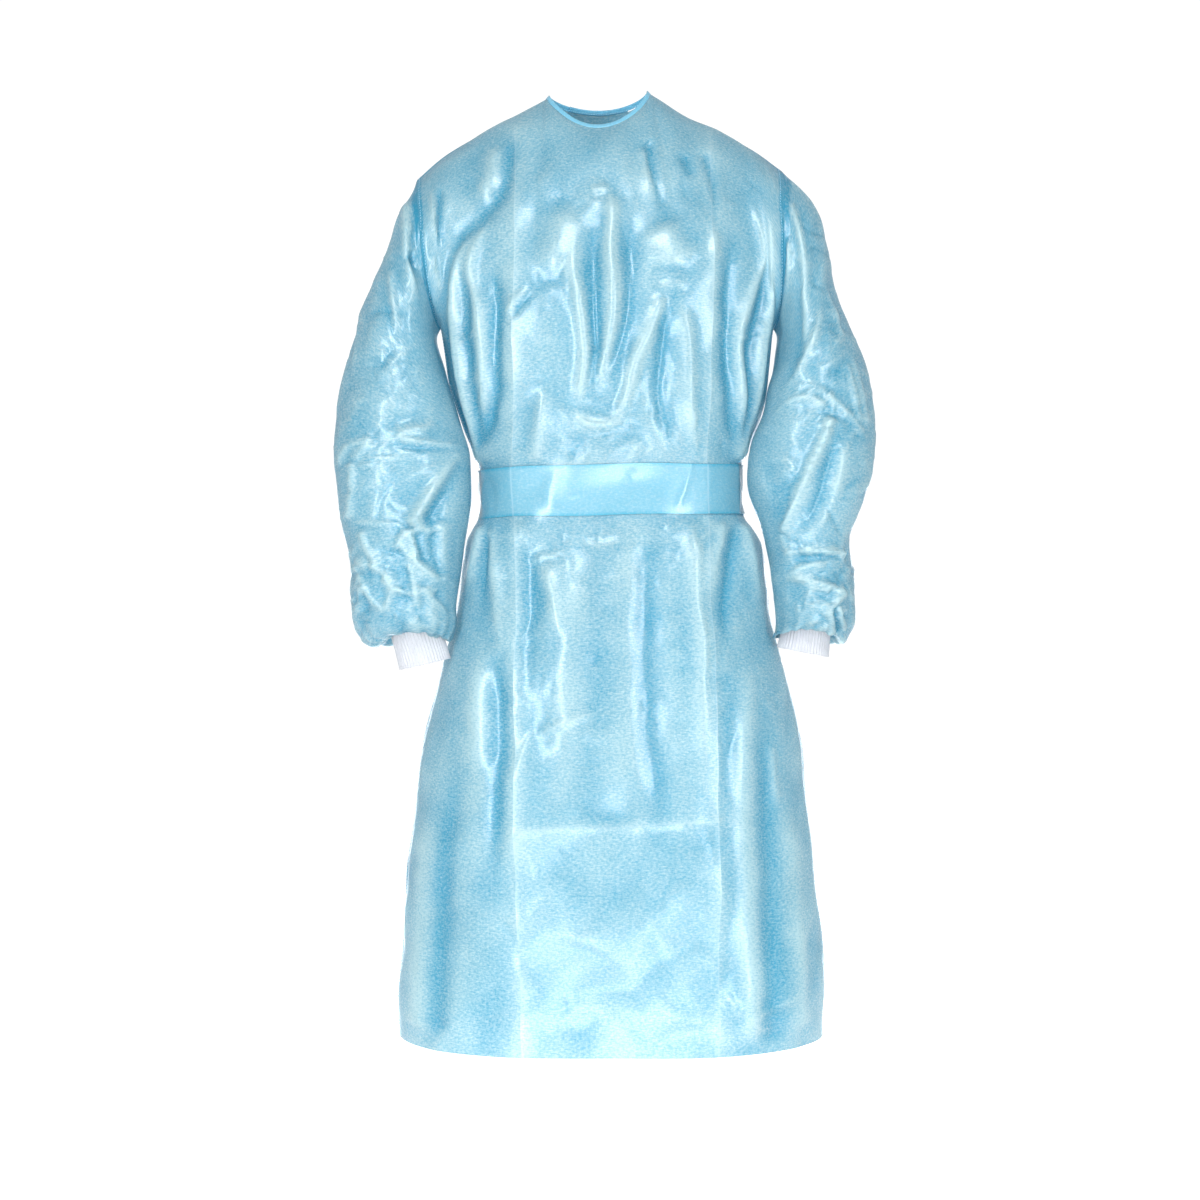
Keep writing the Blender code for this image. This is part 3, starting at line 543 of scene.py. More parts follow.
# %% A slow sway that the whole gown shares
SWAYS = (
    (0.0016, (9.0, 4.0, 21.0), 0.4),
    (0.0013, (-17.0, 7.0, 33.0), 1.9),
    (0.0009, (38.0, -21.0, 26.0), 3.1),
    (0.0006, (-52.0, 33.0, 61.0), 5.2),
)


def swayed(points):
    """Move points by a slow, small wave, so that no long line of the gown is ruler-straight."""
    moved = points.copy()
    for size, waves, start in SWAYS:
        phase = points @ np.array(waves) + start
        moved[..., 1] += size * np.sin(phase)
        moved[..., 0] += 0.5 * size * np.sin(1.3 * phase + 1.0)
    return moved


# %% [markdown]
# ## A sheet becomes a mesh
#
# `cloth_piece` joins a grid into faces, gives it a UV map in metres of flat cloth, so that the
# bond dots run with the cut, and gives it a thin wall with Solidify. Four numbers go with the
# points: how far each lies from the long and from the cross packing creases and from the
# nearest seam, and `relief`, which tells a crest from a hollow. The cloth's material paints
# crests paler and hollows deeper with it, as painted highlight and painted shade. The modifier
# is applied at once, so the piece is a plain mesh.

# %% Build one cloth piece
CLOTH_WALL = 0.0006
SHARP_EDGE = math.radians(60)
MARK_REACH = 0.05
MARKS = ("crease_along", "crease_across", "from_seam", "relief")
NO_MARK = {"relief": 0.0}
RELIEF_SIZE = 0.0022
RELIEF_STEPS = 34
PIECES = bpy.data.collections.new("gown_pieces")
bpy.context.scene.collection.children.link(PIECES)


def placed(name, data):
    """A new object of the gown's collection."""
    item = bpy.data.objects.new(name, data)
    PIECES.objects.link(item)
    return item


def plain_mesh(item, name):
    """Turn an object with modifiers into a finished plain one of this name."""
    bpy.context.view_layer.update()
    shaped = item.evaluated_get(bpy.context.evaluated_depsgraph_get())
    ready = bpy.data.meshes.new_from_object(shaped)
    old = item.data
    bpy.data.objects.remove(item, do_unlink=True)
    bpy.data.batch_remove([old])
    ready.name = name
    return placed(name, ready)


# The cloth's material uses this to paint highlight on the crests and shade in the hollows.
def relief(height, closed=False):
    """Where a sheet is a crest (to 1) or a hollow (to -1) against the cloth around it."""
    around = height.copy()
    for _ in range(RELIEF_STEPS):
        framed = np.pad(around, 1, mode="edge")
        if closed:
            framed[1:-1, 0], framed[1:-1, -1] = around[:, -1], around[:, 0]
        beside = framed[:-2, 1:-1] + framed[2:, 1:-1]
        around = (beside + framed[1:-1, :-2] + framed[1:-1, 2:]) / 4
    return np.tanh((height - around) / RELIEF_SIZE)


def carry_marks(mesh, marks):
    """Write each point's distances from creases and seams; far away where none is given."""
    for mark in MARKS:
        carried = mesh.attributes.new(mark, "FLOAT", "POINT")
        values = marks.get(mark, np.full(len(mesh.vertices), NO_MARK.get(mark, MARK_REACH)))
        carried.data.foreach_set("value", np.asarray(values).reshape(-1).astype(np.float32))


def read_each(items, name, kind, each=1):
    """One property of every edge of a mesh, as an array."""
    values = np.empty(len(items) * each, dtype=kind)
    items.foreach_get(name, values)
    return values


def cloth_piece(name, grid, uv, marks, wall=CLOTH_WALL, closed=False, crisp=()):
    """A thin wall of cloth on a grid of points."""
    rows, columns = grid.shape[:2]
    spans = columns if closed else columns - 1
    r, c = np.meshgrid(np.arange(rows - 1), np.arange(spans), indexing="ij")
    corners = [(r, c), (r, c + 1), (r + 1, c + 1), (r + 1, c)]
    faces = np.stack([row * columns + column % columns for row, column in corners], axis=-1)
    mesh = bpy.data.meshes.new(name)
    mesh.from_pydata(grid.reshape(-1, 3), [], faces.reshape(-1, 4))
    u, v = uv
    if closed:
        width = (u[:, -1:] - u[:, :1]) * columns / (columns - 1)
        u = np.concatenate((u, u[:, :1] + width), axis=1)
        v = np.concatenate((v, v[:, :1]), axis=1)
    places = [np.stack((u[row, column], v[row, column]), axis=-1) for row, column in corners]
    layer = mesh.uv_layers.new(name="flat_cut")
    layer.data.foreach_set("uv", np.stack(places, axis=2).reshape(-1).astype(np.float32))
    carry_marks(mesh, marks)
    mesh.shade_smooth()
    item = placed(name + "_sheet", mesh)
    solid = item.modifiers.new("Wall", "SOLIDIFY")
    solid.thickness = wall
    solid.offset = 0.0
    piece = plain_mesh(item, name)
    piece.data.set_sharp_from_angle(angle=SHARP_EDGE)
    if len(crisp):
        edges = piece.data.edges
        ends = read_each(edges, "vertices", int, 2).reshape(-1, 2) % columns
        same = (ends[:, 0] == ends[:, 1]) & np.isin(ends[:, 0], crisp)
        edges.foreach_set("use_edge_sharp", read_each(edges, "use_edge_sharp", bool) | same)
    crossed = np.cross(grid[1:, 1:] - grid[:-1, :-1], grid[1:, :-1] - grid[:-1, 1:])
    area = np.linalg.norm(crossed, axis=2).sum() / 2
    print(f"{name}: {len(piece.data.polygons) * 2} triangles, {area:.3f} m2 of cloth")
    return piece


def stands_for(piece, node):
    """The piece moves with the gown and hides its CAD solid."""
    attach(piece, "root")
    if node:
        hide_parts(node)
    return piece


# %% [markdown]
# ## The front panel
#
# One wide piece from shoulder to hem. The flat middle between the two long packing creases
# faces the viewer, and the two side bands turn away from it, so each packing crease is a real
# bend in the form and not only a line. Folds end where something holds the cloth: at the
# seams, at the neck binding and at the belt.

# %% Grids of the body
SKIRT_ROWS = 162
BELT_ROWS = 16
TORSO_ROWS = 44
SHOULDER_ROWS = 72
NECK_COLUMNS = 50
FRONT_SIDE_COLUMNS = (40, 12)
BACK_SIDE_COLUMNS = (50, 16)
LAP_COLUMNS = 42
FINE_COLUMNS = 401
SHARE_SLACK = 0.001
SEAM_EASE = 0.010
TOP_EASE = 0.012
BELT_EASE = (-0.003, 0.014)
FORM_SMOOTHING = 4
CREASE_SHARE = 0.46
CREASE_TO_NECK = (0.3, 1.0)


def side_shares(outside, inside):
    """Columns from the side seam to the long crease, and from there to the neckline."""
    return np.concatenate((
        np.linspace(-1.0, -CREASE_SHARE, outside)[:-1],
        np.linspace(-CREASE_SHARE, -NECK_SHARE, inside)[:-1],
    ))


right_steps = side_shares(*FRONT_SIDE_COLUMNS)
neck_steps = np.linspace(-NECK_SHARE, NECK_SHARE, NECK_COLUMNS + 1)
front_shares = np.concatenate((right_steps, neck_steps, -right_steps[::-1]))
lap_steps = np.linspace(-NECK_SHARE, LAP_SHARE, LAP_COLUMNS + 1)
back_over_shares = np.concatenate((side_shares(*BACK_SIDE_COLUMNS), lap_steps))
back_under_shares = -back_over_shares[::-1]


def row_points(level, shares, face):
    """One row of a body panel; a level above 0 is a rise from the armpit, else a height."""
    if level > 0:
        return shoulder_columns(shares, np.array([level]), face)[0]
    return section(level, shares, face)


def creased_shares(shares, level, face, creases):
    """A row's shares, moved so that its columns at CREASE_SHARE lie on the long creases."""
    fine = np.linspace(-1.0, 1.0, FINE_COLUMNS)
    points = row_points(level, fine, face)
    places = []
    for crease in creases[:2]:
        line = smooth_line(crease.points, FOLD_STEPS)[::-1]
        gap = points[:, 0] - np.interp(points[:, 2], line[:, 1], line[:, 0])
        places.append(float(np.interp(0.0, gap, fine)))
    at_top = smooth(level, *CREASE_TO_NECK)
    near = [
        NECK_SHARE * (abs(place) / CREASE_SHARE * (1 - at_top) + at_top) for place in places
    ]
    inner = (-LAP_SHARE, LAP_SHARE)
    pinned = (-1.0, -CREASE_SHARE, -NECK_SHARE, *inner, NECK_SHARE, CREASE_SHARE, 1.0)
    moved = (-1.0, places[0], -near[0], *inner, near[1], places[1], 1.0)
    return np.interp(shares, pinned, moved)


def body_form(shares, face, creases):
    """A body panel's plain form, from hem to top edge, with columns on its long creases."""
    skirt = np.linspace(HEM_Z, BELT_BOTTOM_Z, SKIRT_ROWS)
    belt = np.linspace(BELT_BOTTOM_Z, BELT_TOP_Z, BELT_ROWS + 1)[1:]
    torso = np.linspace(BELT_TOP_Z, ARMPIT_Z, TORSO_ROWS + 1)[1:]
    rises = np.linspace(0.0, 1.0, SHOULDER_ROWS + 1)[1:]
    rows = [
        row_points(level, creased_shares(shares, level, face, creases), face)
        for level in np.concatenate((skirt, belt, torso, rises))
    ]
    return relaxed(np.array(rows), FORM_SMOOTHING)


def edge_distances(uv, shares):
    """How far each point lies from the side seams and from the top edge, in cloth metres."""
    u, v = uv
    from_side = np.full_like(u, np.inf)
    if shares[0] == -1.0:
        from_side = np.minimum(from_side, u - u[:, :1])
    if shares[-1] == 1.0:
        from_side = np.minimum(from_side, u[:, -1:] - u)
    return from_side, v[-1:] - v


def at_edges(uv, shares):
    """1 on free cloth, easing to 0 at the seams and at the top edge."""
    from_side, from_top = edge_distances(uv, shares)
    return smooth(from_side, 0.0, SEAM_EASE) * smooth(from_top, 0.0, TOP_EASE)


def held(grid, uv, shares):
    """The same, and easing to 0 under the belt as well."""
    from_belt = np.maximum(grid[:, :, 2] - BELT_TOP_Z, BELT_BOTTOM_Z - grid[:, :, 2])
    return at_edges(uv, shares) * smooth(from_belt, *BELT_EASE)


def seam_distance(uv, shares):
    """How far each point lies from the nearest seam, in metres."""
    from_side, from_top = edge_distances(uv, shares)
    on_shoulder = np.abs(shares) > NECK_SHARE - SHARE_SLACK
    near = np.minimum(from_side, np.where(on_shoulder, from_top, MARK_REACH))
    return np.minimum(near, MARK_REACH)


def pack_marks(x, z, creases):
    """The bend of the packing creases, and each point's distance from them.

    The distances carry a sign, so that the line stays exact between two points of the grid.
    """
    bend = np.zeros_like(x)
    marks = []
    for crease, inside in zip(creases, (-1, 1, 1)):
        line = smooth_line(crease.points, 3 * FOLD_STEPS)
        distance, side, _ = from_line(x, z, line)
        bend += crease.height * MM * np.exp(-distance / (crease.width * MM))
        marks.append(np.clip(distance * side * inside, -MARK_REACH, MARK_REACH))
    along = np.where(np.abs(marks[0]) < np.abs(marks[1]), marks[0], marks[1])
    return bend, along, marks[2]


def body_panel(name, node, shares, face, creases, height_at, lowered=0.0):
    """One panel of the body, with its folds; lowered is how far its columns lie under another."""
    form = body_form(shares, face, creases)
    uv = cloth_lengths(form)
    bend, along, across = pack_marks(form[:, :, 0], form[:, :, 2], creases)
    height = height_at(form, uv) * held(form, uv, shares) + bend * at_edges(uv, shares) - lowered
    grid = form + outward(form, face) * height[:, :, None]
    marks = {
        "crease_along": along,
        "crease_across": across,
        "from_seam": seam_distance(uv, shares),
        "relief": relief(height),
    }
    crisp = np.flatnonzero(np.isclose(np.abs(shares), CREASE_SHARE))
    panel = cloth_piece(name, swayed(grid), uv, marks, crisp=crisp)
    return stands_for(panel, node), grid


# %% The front panel's sheet
FRONT_SCATTER = (
    Scatter(90, 11, (-190, -460), (190, -100), (18, 60), (0.3, 0.9), (2.0, 4.5), 0.9),
    Scatter(110, 12, (-230, -830), (240, -540), (15, 60), (0.3, 0.9), (2.0, 4.5), 1.0),
    Scatter(80, 13, (-240, -1160), (260, -840), (20, 80), (0.2, 0.6), (2.5, 6.0), 1.0),
    Scatter(26, 14, (-160, -462), (170, -400), (14, 34), (0.4, 1.1), (2.0, 3.5), 0.35),
    Scatter(26, 15, (-170, -600), (185, -532), (14, 40), (0.4, 1.1), (2.0, 3.5), 0.35),
)
FRONT_FACETS = (Facets(0.034, 0.0011, 61), Facets(0.090, 0.0016, 62))


def front_height(form, uv):
    """All the folds of the front at each point of its form."""
    x, z = form[:, :, 0], form[:, :, 2]
    height = fold_height(x, z, CHEST_FOLDS + SKIRT_FOLDS)
    height += scattered_height(x, z, FRONT_SCATTER)
    return height + sum(facets(*uv, size) for size in FRONT_FACETS)


front, front_grid = body_panel(
    "front_panel", "front", front_shares, FRONT, PACK_CREASES, front_height
)

# %% [markdown]
# ## The two back panels
#
# The back is cut in two, so that the gown can be put on from the front. The wearer's right
# panel laps over the left one. Nothing shows the back in the picture of a worn gown, so its
# folds are of the same kind as the front's: long pulls from the armholes down to the knot,
# and wide ones that fan out below it.

# %% Folds of the back
BACK_FOLDS = (
    # pulls from the armholes to the belt
    Fold(9, 13, 0.8, 0.4, 0.3, 0.08, ((-150, -150), (-132, -260), (-118, -370), (-104, -462))),
    Fold(-5, 11, 1, 0.2, 0.3, 0.1, ((-118, -180), (-104, -290), (-92, -400), (-84, -464))),
    Fold(6, 10, 1, 0.4, 0.3, 0.1, ((-92, -210), (-80, -320), (-66, -464))),
    Fold(9.5, 13, 1.2, 0.4, 0.3, 0.08, ((158, -150), (140, -260), (124, -370), (110, -462))),
    Fold(-5, 11, 1, 0.2, 0.3, 0.1, ((122, -190), (108, -300), (96, -400), (86, -464))),
    Fold(5.5, 9, 1, 0.4, 0.3, 0.1, ((96, -230), (84, -330), (70, -464))),
    Fold(5, 8, 1, 0.5, 0.3, 0.05, ((-176, -300), (-168, -380), (-156, -458))),
    Fold(5, 8, 1, 0.5, 0.3, 0.05, ((184, -300), (178, -380), (168, -458))),
    # slack between the shoulder blades
    Fold(4, 18, 1, 0, 0.3, 0.3, ((-20, -70), (-26, -160), (-20, -260))),
    Fold(-4, 16, 1, 0, 0.3, 0.3, ((30, -80), (34, -180), (24, -290))),
    Fold(3, 7, 1, 0.5, 0.2, 0.4, ((-52, -40), (-70, -90), (-96, -150))),
    Fold(3, 7, 1, 0.5, 0.2, 0.4, ((44, -40), (66, -96), (90, -150))),
    # short pulls to the knot
    Fold(4, 8, 1, 0.4, 0.3, 0.03, ((-60, -380), (-34, -430), (-18, -462))),
    Fold(4, 8, 1, 0.4, 0.3, 0.03, ((66, -370), (40, -428), (22, -462))),
    Fold(-4, 9, 1, 0.3, 0.3, 0.03, ((4, -360), (6, -420), (4, -462))),
    # folds that fan out below the knot
    Fold(9, 16, 1, 0.2, 0.05, 0.3, ((-30, -530), (-70, -660), (-112, -860), (-140, -1190))),
    Fold(9.5, 15, 1, 0.2, 0.05, 0.3, ((38, -530), (82, -660), (124, -860), (152, -1190))),
    Fold(-7, 15, 1, 0.1, 0.05, 0.3, ((-58, -532), (-110, -680), (-158, -880), (-196, -1190))),
    Fold(-7, 15, 1, 0.1, 0.05, 0.3, ((64, -532), (116, -680), (166, -880), (206, -1190))),
    Fold(6, 13, 1, 0.3, 0.05, 0.4, ((-8, -530), (-22, -640), (-34, -760), (-40, -900))),
    Fold(6, 13, 1, 0.3, 0.05, 0.4, ((16, -530), (34, -650), (46, -780), (52, -930))),
    Fold(-5, 12, 1, 0.2, 0.05, 0.4, ((4, -530), (6, -640), (8, -820))),
    Fold(5, 18, 1, 0, 0.3, 0.05, ((-80, -800), (-90, -980), (-96, -1190))),
    Fold(5, 18, 1, 0, 0.3, 0.05, ((92, -840), (100, -1000), (108, -1190))),
    Fold(4, 8, 1, 0.5, 0.05, 0.4, ((-120, -530), (-138, -590), (-150, -680))),
    Fold(4, 8, 1, 0.5, 0.05, 0.4, ((134, -530), (152, -590), (166, -680))),
)
BACK_CREASES = (
    PackCrease(4, 26, ((-112, -40), (-112, -400), (-116, -800), (-118, -1190))),
    PackCrease(4, 26, ((128, -36), (128, -400), (131, -800), (134, -1190))),
    PackCrease(2, 5, ((-118, -902), (0, -899), (131, -905))),
)
BACK_SCATTER = (
    Scatter(120, 21, (-200, -460), (205, -60), (18, 60), (0.3, 1.0), (2.0, 4.5), 0.9),
    Scatter(170, 22, (-240, -1160), (260, -540), (18, 80), (0.3, 0.8), (2.0, 5.5), 1.0),
    Scatter(40, 23, (-120, -600), (130, -532), (14, 44), (0.4, 1.1), (2.0, 3.5), 0.35),
)

# %% The back panels' sheets
BACK_FACETS = (Facets(0.034, 0.0009, 63), Facets(0.090, 0.0016, 64))


def under_weight(shares):
    """1 where the upper back panel covers the under one, easing to 0 beyond."""
    return 1.0 - smooth(shares, LAP_SHARE, LAP_SHARE + LAP_EASE_SHARE)


def back_folds(x, z):
    """The folds and small creases of the back at each point."""
    return fold_height(x, z, BACK_FOLDS) + scattered_height(x, z, BACK_SCATTER)


def back_height(form, uv):
    """All the folds of the back at each point of its form."""
    x, z = form[:, :, 0], form[:, :, 2]
    return back_folds(x, z) + sum(facets(x, z, size) for size in BACK_FACETS)


back_over, back_over_grid = body_panel(
    "back_panel_right", "back_right", back_over_shares, BACK, BACK_CREASES, back_height
)
back_under, back_under_grid = body_panel(
    "back_panel_left", "back_left", back_under_shares, BACK, BACK_CREASES, back_height,
    LAP_DEPTH * under_weight(back_under_shares)[None, :],
)

# %% [markdown]
# ## The sleeves
#
# Each sleeve is a wide tube that starts on the armhole and ends inside the knitted cuff's
# seam, with spare length that blouses over the cuff. Its rings come from a table: the outer
# and the inner point of each ring, the depth of its middle, and how far it reaches to the
# front and back. The film creases of a sleeve run straight between pinched points.

# %% Rings of the sleeves and cuffs
SleeveRow = namedtuple("SleeveRow", "outer_x outer_z inner_x inner_z mid_y half_depth front_lift")
SLEEVE_ROWS = {
    RIGHT: (
        SleeveRow(-0.2560, -0.146, -0.2105, -0.303, -0.004, 0.074, 0.000),
        SleeveRow(-0.2740, -0.204, -0.2080, -0.320, -0.010, 0.076, 0.000),
        SleeveRow(-0.3000, -0.271, -0.1980, -0.350, -0.020, 0.077, 0.000),
        SleeveRow(-0.3190, -0.329, -0.1880, -0.385, -0.030, 0.077, 0.000),
        SleeveRow(-0.3285, -0.388, -0.1780, -0.418, -0.038, 0.076, 0.000),
        SleeveRow(-0.3325, -0.462, -0.1665, -0.455, -0.044, 0.075, 0.000),
        SleeveRow(-0.3270, -0.524, -0.1645, -0.510, -0.048, 0.073, 0.000),
        SleeveRow(-0.3155, -0.588, -0.1755, -0.575, -0.050, 0.068, 0.000),
        SleeveRow(-0.3125, -0.640, -0.1830, -0.635, -0.052, 0.060, 0.004),
        SleeveRow(-0.3010, -0.672, -0.1830, -0.665, -0.053, 0.052, 0.010),
        SleeveRow(-0.2840, -0.687, -0.1900, -0.680, -0.054, 0.040, 0.014),
        SleeveRow(-0.2720, -0.680, -0.1955, -0.676, -0.054, 0.030, 0.008),
    ),
    LEFT: (
        SleeveRow(0.2560, -0.135, 0.2155, -0.302, -0.004, 0.074, 0.000),
        SleeveRow(0.2760, -0.195, 0.2135, -0.322, -0.010, 0.076, 0.000),
        SleeveRow(0.2870, -0.245, 0.2090, -0.345, -0.020, 0.077, 0.000),
        SleeveRow(0.3060, -0.300, 0.2010, -0.370, -0.030, 0.077, 0.000),
        SleeveRow(0.3220, -0.350, 0.1955, -0.400, -0.038, 0.076, 0.000),
        SleeveRow(0.3315, -0.430, 0.1815, -0.438, -0.044, 0.075, 0.000),
        SleeveRow(0.3215, -0.495, 0.1760, -0.492, -0.048, 0.071, 0.000),
        SleeveRow(0.3000, -0.560, 0.1970, -0.560, -0.050, 0.064, 0.000),
        SleeveRow(0.3050, -0.620, 0.2070, -0.620, -0.052, 0.058, 0.004),
        SleeveRow(0.3050, -0.670, 0.2095, -0.664, -0.053, 0.050, 0.010),
        SleeveRow(0.2930, -0.683, 0.2085, -0.677, -0.054, 0.040, 0.014),
        SleeveRow(0.2850, -0.674, 0.2095, -0.671, -0.054, 0.031, 0.008),
    ),
}
CUFF_SEAM_TURN = ((0.0040, -0.0010), (0.0000, 0.0026))
CuffRow = namedtuple("CuffRow", "mid_x mid_y mid_z half_width half_depth drop")
CUFF_ROWS = {
    RIGHT: (
        CuffRow(-0.2320, -0.054, -0.667, 0.0310, 0.0250, 0.003),
        CuffRow(-0.2265, -0.054, -0.688, 0.0300, 0.0235, 0.005),
        CuffRow(-0.2215, -0.054, -0.709, 0.0305, 0.0240, 0.007),
    ),
    LEFT: (
        CuffRow(0.2475, -0.054, -0.661, 0.0305, 0.0250, 0.002),
        CuffRow(0.2455, -0.054, -0.678, 0.0300, 0.0235, 0.004),
        CuffRow(0.2430, -0.054, -0.694, 0.0310, 0.0240, 0.006),
    ),
}

# %% Folds of the sleeves, seen from the front
RIGHT_SLEEVE_FOLDS = (
    # ridge from the shoulder to the first pinch
    Fold(7, 8, 1.3, 0.6, 0.1, 0.2, (
        (-243, -133), (-243, -175), (-238, -223), (-229, -257), (-220, -288), (-221, -303))),
    # deep slot beside the armhole
    Fold(-10, 7, 1, 0.5, 0.15, 0.15, ((-238, -202), (-227, -227), (-212, -254), (-200, -276))),
    Fold(6, 7, 1, 0.6, 0.05, 0.05, (
        (-220, -304), (-206, -347), (-192, -388), (-181, -418), (-170, -443))),
    Fold(-7, 7, 1, 0.4, 0.1, 0.1, ((-210, -309), (-194, -335), (-186, -375), (-176, -418))),
    Fold(4.5, 6, 1, 0.5, 0.25, 0.3, ((-260, -220), (-257, -263), (-251, -312))),
    Fold(2, 3, 1, 0.8, 0.3, 0.3, ((-274, -210), (-266, -207), (-256, -209))),
    Fold(1.5, 4, 1, 0.6, 0.3, 0.2, ((-273, -355), (-249, -334), (-223, -312))),
    # pair of creases across the elbow
    Fold(3.5, 4.5, 1, 0.8, 0.3, 0.05, ((-256, -434), (-218, -440), (-170, -443))),
    Fold(-3, 5, 1, 0.6, 0.3, 0.05, ((-268, -441), (-218, -447), (-171, -447))),
    Fold(3, 5, 1, 0.7, 0.3, 0.3, ((-256, -435), (-237, -426), (-218, -420), (-204, -406))),
    # straight ridge between the two pinches
    Fold(9, 10, 0.6, 0.7, 0.03, 0.03, (
        (-170, -444), (-186, -464), (-203, -489), (-220, -515), (-235, -541))),
    Fold(-8, 12, 1, 0.3, 0.1, 0.2, ((-171, -460), (-188, -491), (-205, -523), (-220, -545))),
    Fold(6, 7, 1, 0.7, 0.03, 0.05, (
        (-237, -543), (-231, -567), (-228, -586), (-212, -598), (-191, -607), (-181, -617))),
    Fold(-5, 8, 1, 0.4, 0.1, 0.3, ((-229, -548), (-223, -569), (-215, -588))),
    Fold(3, 5, 1, 0.7, 0.1, 0.4, ((-240, -543), (-248, -558), (-256, -574))),
    Fold(2, 5, 1, 0.6, 0.3, 0.05, ((-313, -534), (-278, -537), (-240, -540))),
    # facets down the outer side
    Fold(4, 7, 1, 0.8, 0.1, 0.1, ((-305, -461), (-307, -497), (-313, -533))),
    Fold(3, 6, 1, 0.8, 0.2, 0.1, ((-324, -468), (-314, -448), (-279, -434))),
    Fold(2.5, 6, 1, 0.7, 0.2, 0.2, ((-278, -435), (-295, -451), (-305, -463))),
    Fold(4, 6, 1, 0.8, 0.1, 0.1, ((-296, -545), (-288, -569), (-275, -591))),
    Fold(4, 6, 1, 0.8, 0.1, 0.1, ((-306, -580), (-268, -598), (-257, -613), (-227, -626))),
    # creases of the blouse above the cuff
    Fold(4, 5, 1, 0.8, 0.1, 0.2, ((-238, -585), (-232, -611), (-224, -642))),
    Fold(-3, 6, 1, 0.5, 0.1, 0.2, ((-244, -588), (-240, -618), (-234, -637))),
    Fold(3, 5, 1, 0.8, 0.1, 0.2, ((-257, -614), (-261, -630), (-265, -645))),
    Fold(3, 5, 1, 0.8, 0.1, 0.2, ((-295, -611), (-300, -630), (-303, -648))),
    Fold(3.5, 5, 1, 0.8, 0.1, 0.1, ((-305, -585), (-294, -609), (-283, -630), (-263, -645))),
    Fold(5, 6, 1, 0.7, 0.05, 0.05, ((-221, -614), (-203, -634), (-183, -655))),
    Fold(-6, 6, 1, 0.5, 0.1, 0.1, ((-208, -620), (-195, -635), (-186, -647))),
    # folds down the inner side
    Fold(5, 8, 1, 0.4, 0.1, 0.1, ((-195, -533), (-197, -575), (-192, -608))),
    Fold(-6, 8, 1, 0.3, 0.1, 0.1, ((-205, -545), (-205, -575), (-199, -606))),
)
LEFT_SLEEVE_FOLDS = (
    # ridge from the shoulder
    Fold(6, 7, 0.8, 0.6, 0.1, 0.2, (
        (223, -133), (236, -175), (242, -208), (244, -261), (240, -338))),
    # edge of the slot beside the armhole
    Fold(6, 5, 1, 0.7, 0.1, 0.05, (
        (225, -184), (224, -230), (219, -272), (207, -327), (190, -373))),
    Fold(-8, 6, 1, 0.5, 0.1, 0.1, ((219, -194), (216, -242), (210, -290), (197, -333))),
    Fold(3, 5, 1, 0.6, 0.2, 0.3, ((216, -113), (217, -145), (217, -177))),
    # fold up from the pinch at the elbow
    Fold(6, 8, 1, 0.6, 0.03, 0.2, (
        (184, -425), (200, -397), (222, -371), (247, -328), (265, -261))),
    Fold(5, 7, 1, 0.6, 0.1, 0.05, (
        (191, -434), (206, -406), (223, -390), (246, -386), (268, -397))),
    # long ridge down the forearm
    Fold(8, 9, 0.8, 0.7, 0.03, 0.03, (
        (273, -408), (260, -442), (245, -474), (228, -512), (213, -549))),
    Fold(-5, 10, 1, 0.2, 0.2, 0.3, ((282, -436), (267, -484), (246, -533), (236, -552))),
    Fold(3.5, 10, 1, 0.1, 0.3, 0.3, ((292, -436), (282, -472), (273, -509))),
    # star of creases at the outer elbow
    Fold(3, 4, 1, 0.8, 0.05, 0.3, ((268, -379), (275, -394), (273, -409))),
    Fold(3, 5, 1, 0.8, 0.05, 0.2, ((268, -379), (292, -403), (319, -435))),
    Fold(3, 5, 1, 0.8, 0.1, 0.2, ((294, -341), (301, -378), (309, -417))),
    Fold(2, 3.5, 1, 0.8, 0.2, 0.1, ((236, -367), (251, -371), (267, -378))),
    Fold(2, 3.5, 1, 0.8, 0.2, 0.1, ((240, -378), (254, -378), (268, -380))),
    # creases across the narrow place
    Fold(5, 6, 1, 0.8, 0.05, 0.05, ((290, -573), (268, -571), (244, -571), (219, -572))),
    Fold(4, 6, 1, 0.7, 0.05, 0.05, ((290, -575), (263, -585), (240, -590), (218, -602))),
    Fold(-4, 7, 1, 0.5, 0.1, 0.1, ((285, -578), (254, -578), (227, -583))),
    Fold(5, 6, 1, 0.7, 0.05, 0.05, ((213, -549), (219, -572), (216, -590), (202, -611))),
    Fold(4.5, 6, 1, 0.7, 0.05, 0.05, (
        (204, -609), (224, -603), (246, -605), (265, -611), (288, -618))),
    # creases of the blouse above the cuff
    Fold(5, 6, 1, 0.8, 0.05, 0.1, ((288, -620), (275, -635), (263, -649))),
    Fold(3, 5, 1, 0.8, 0.05, 0.3, ((270, -619), (254, -615), (236, -606))),
    Fold(5, 4.5, 1, 0.7, 0.1, 0.1, ((279, -637), (286, -652), (294, -669))),
    Fold(5, 4.5, 1, 0.7, 0.1, 0.1, ((271, -640), (275, -654), (280, -671))),
    Fold(-5, 4, 1, 0.6, 0.1, 0.1, ((275, -638), (281, -654), (287, -671))),
    Fold(4, 5, 1, 0.7, 0.1, 0.1, ((265, -657), (277, -674), (297, -678))),
    # folds down the inner side
    Fold(5, 7, 1, 0.5, 0.1, 0.1, ((200, -612), (202, -636), (207, -678))),
    Fold(3, 6, 1, 0.6, 0.1, 0.2, ((206, -630), (211, -652), (213, -674))),
    Fold(3, 6, 1, 0.6, 0.2, 0.2, ((271, -246), (280, -278), (292, -321))),
    Fold(3, 6, 1, 0.6, 0.2, 0.2, ((299, -327), (309, -369), (319, -424))),
    Fold(3, 8, 1, 0.2, 0.2, 0.2, ((184, -436), (188, -472), (195, -503))),
    Fold(-3.5, 7, 1, 0.3, 0.1, 0.2, ((191, -454), (197, -484), (200, -505))),
)

# %% Ring points and the sleeve's form
SLEEVE_RINGS = 236
SLEEVE_POINTS = 144


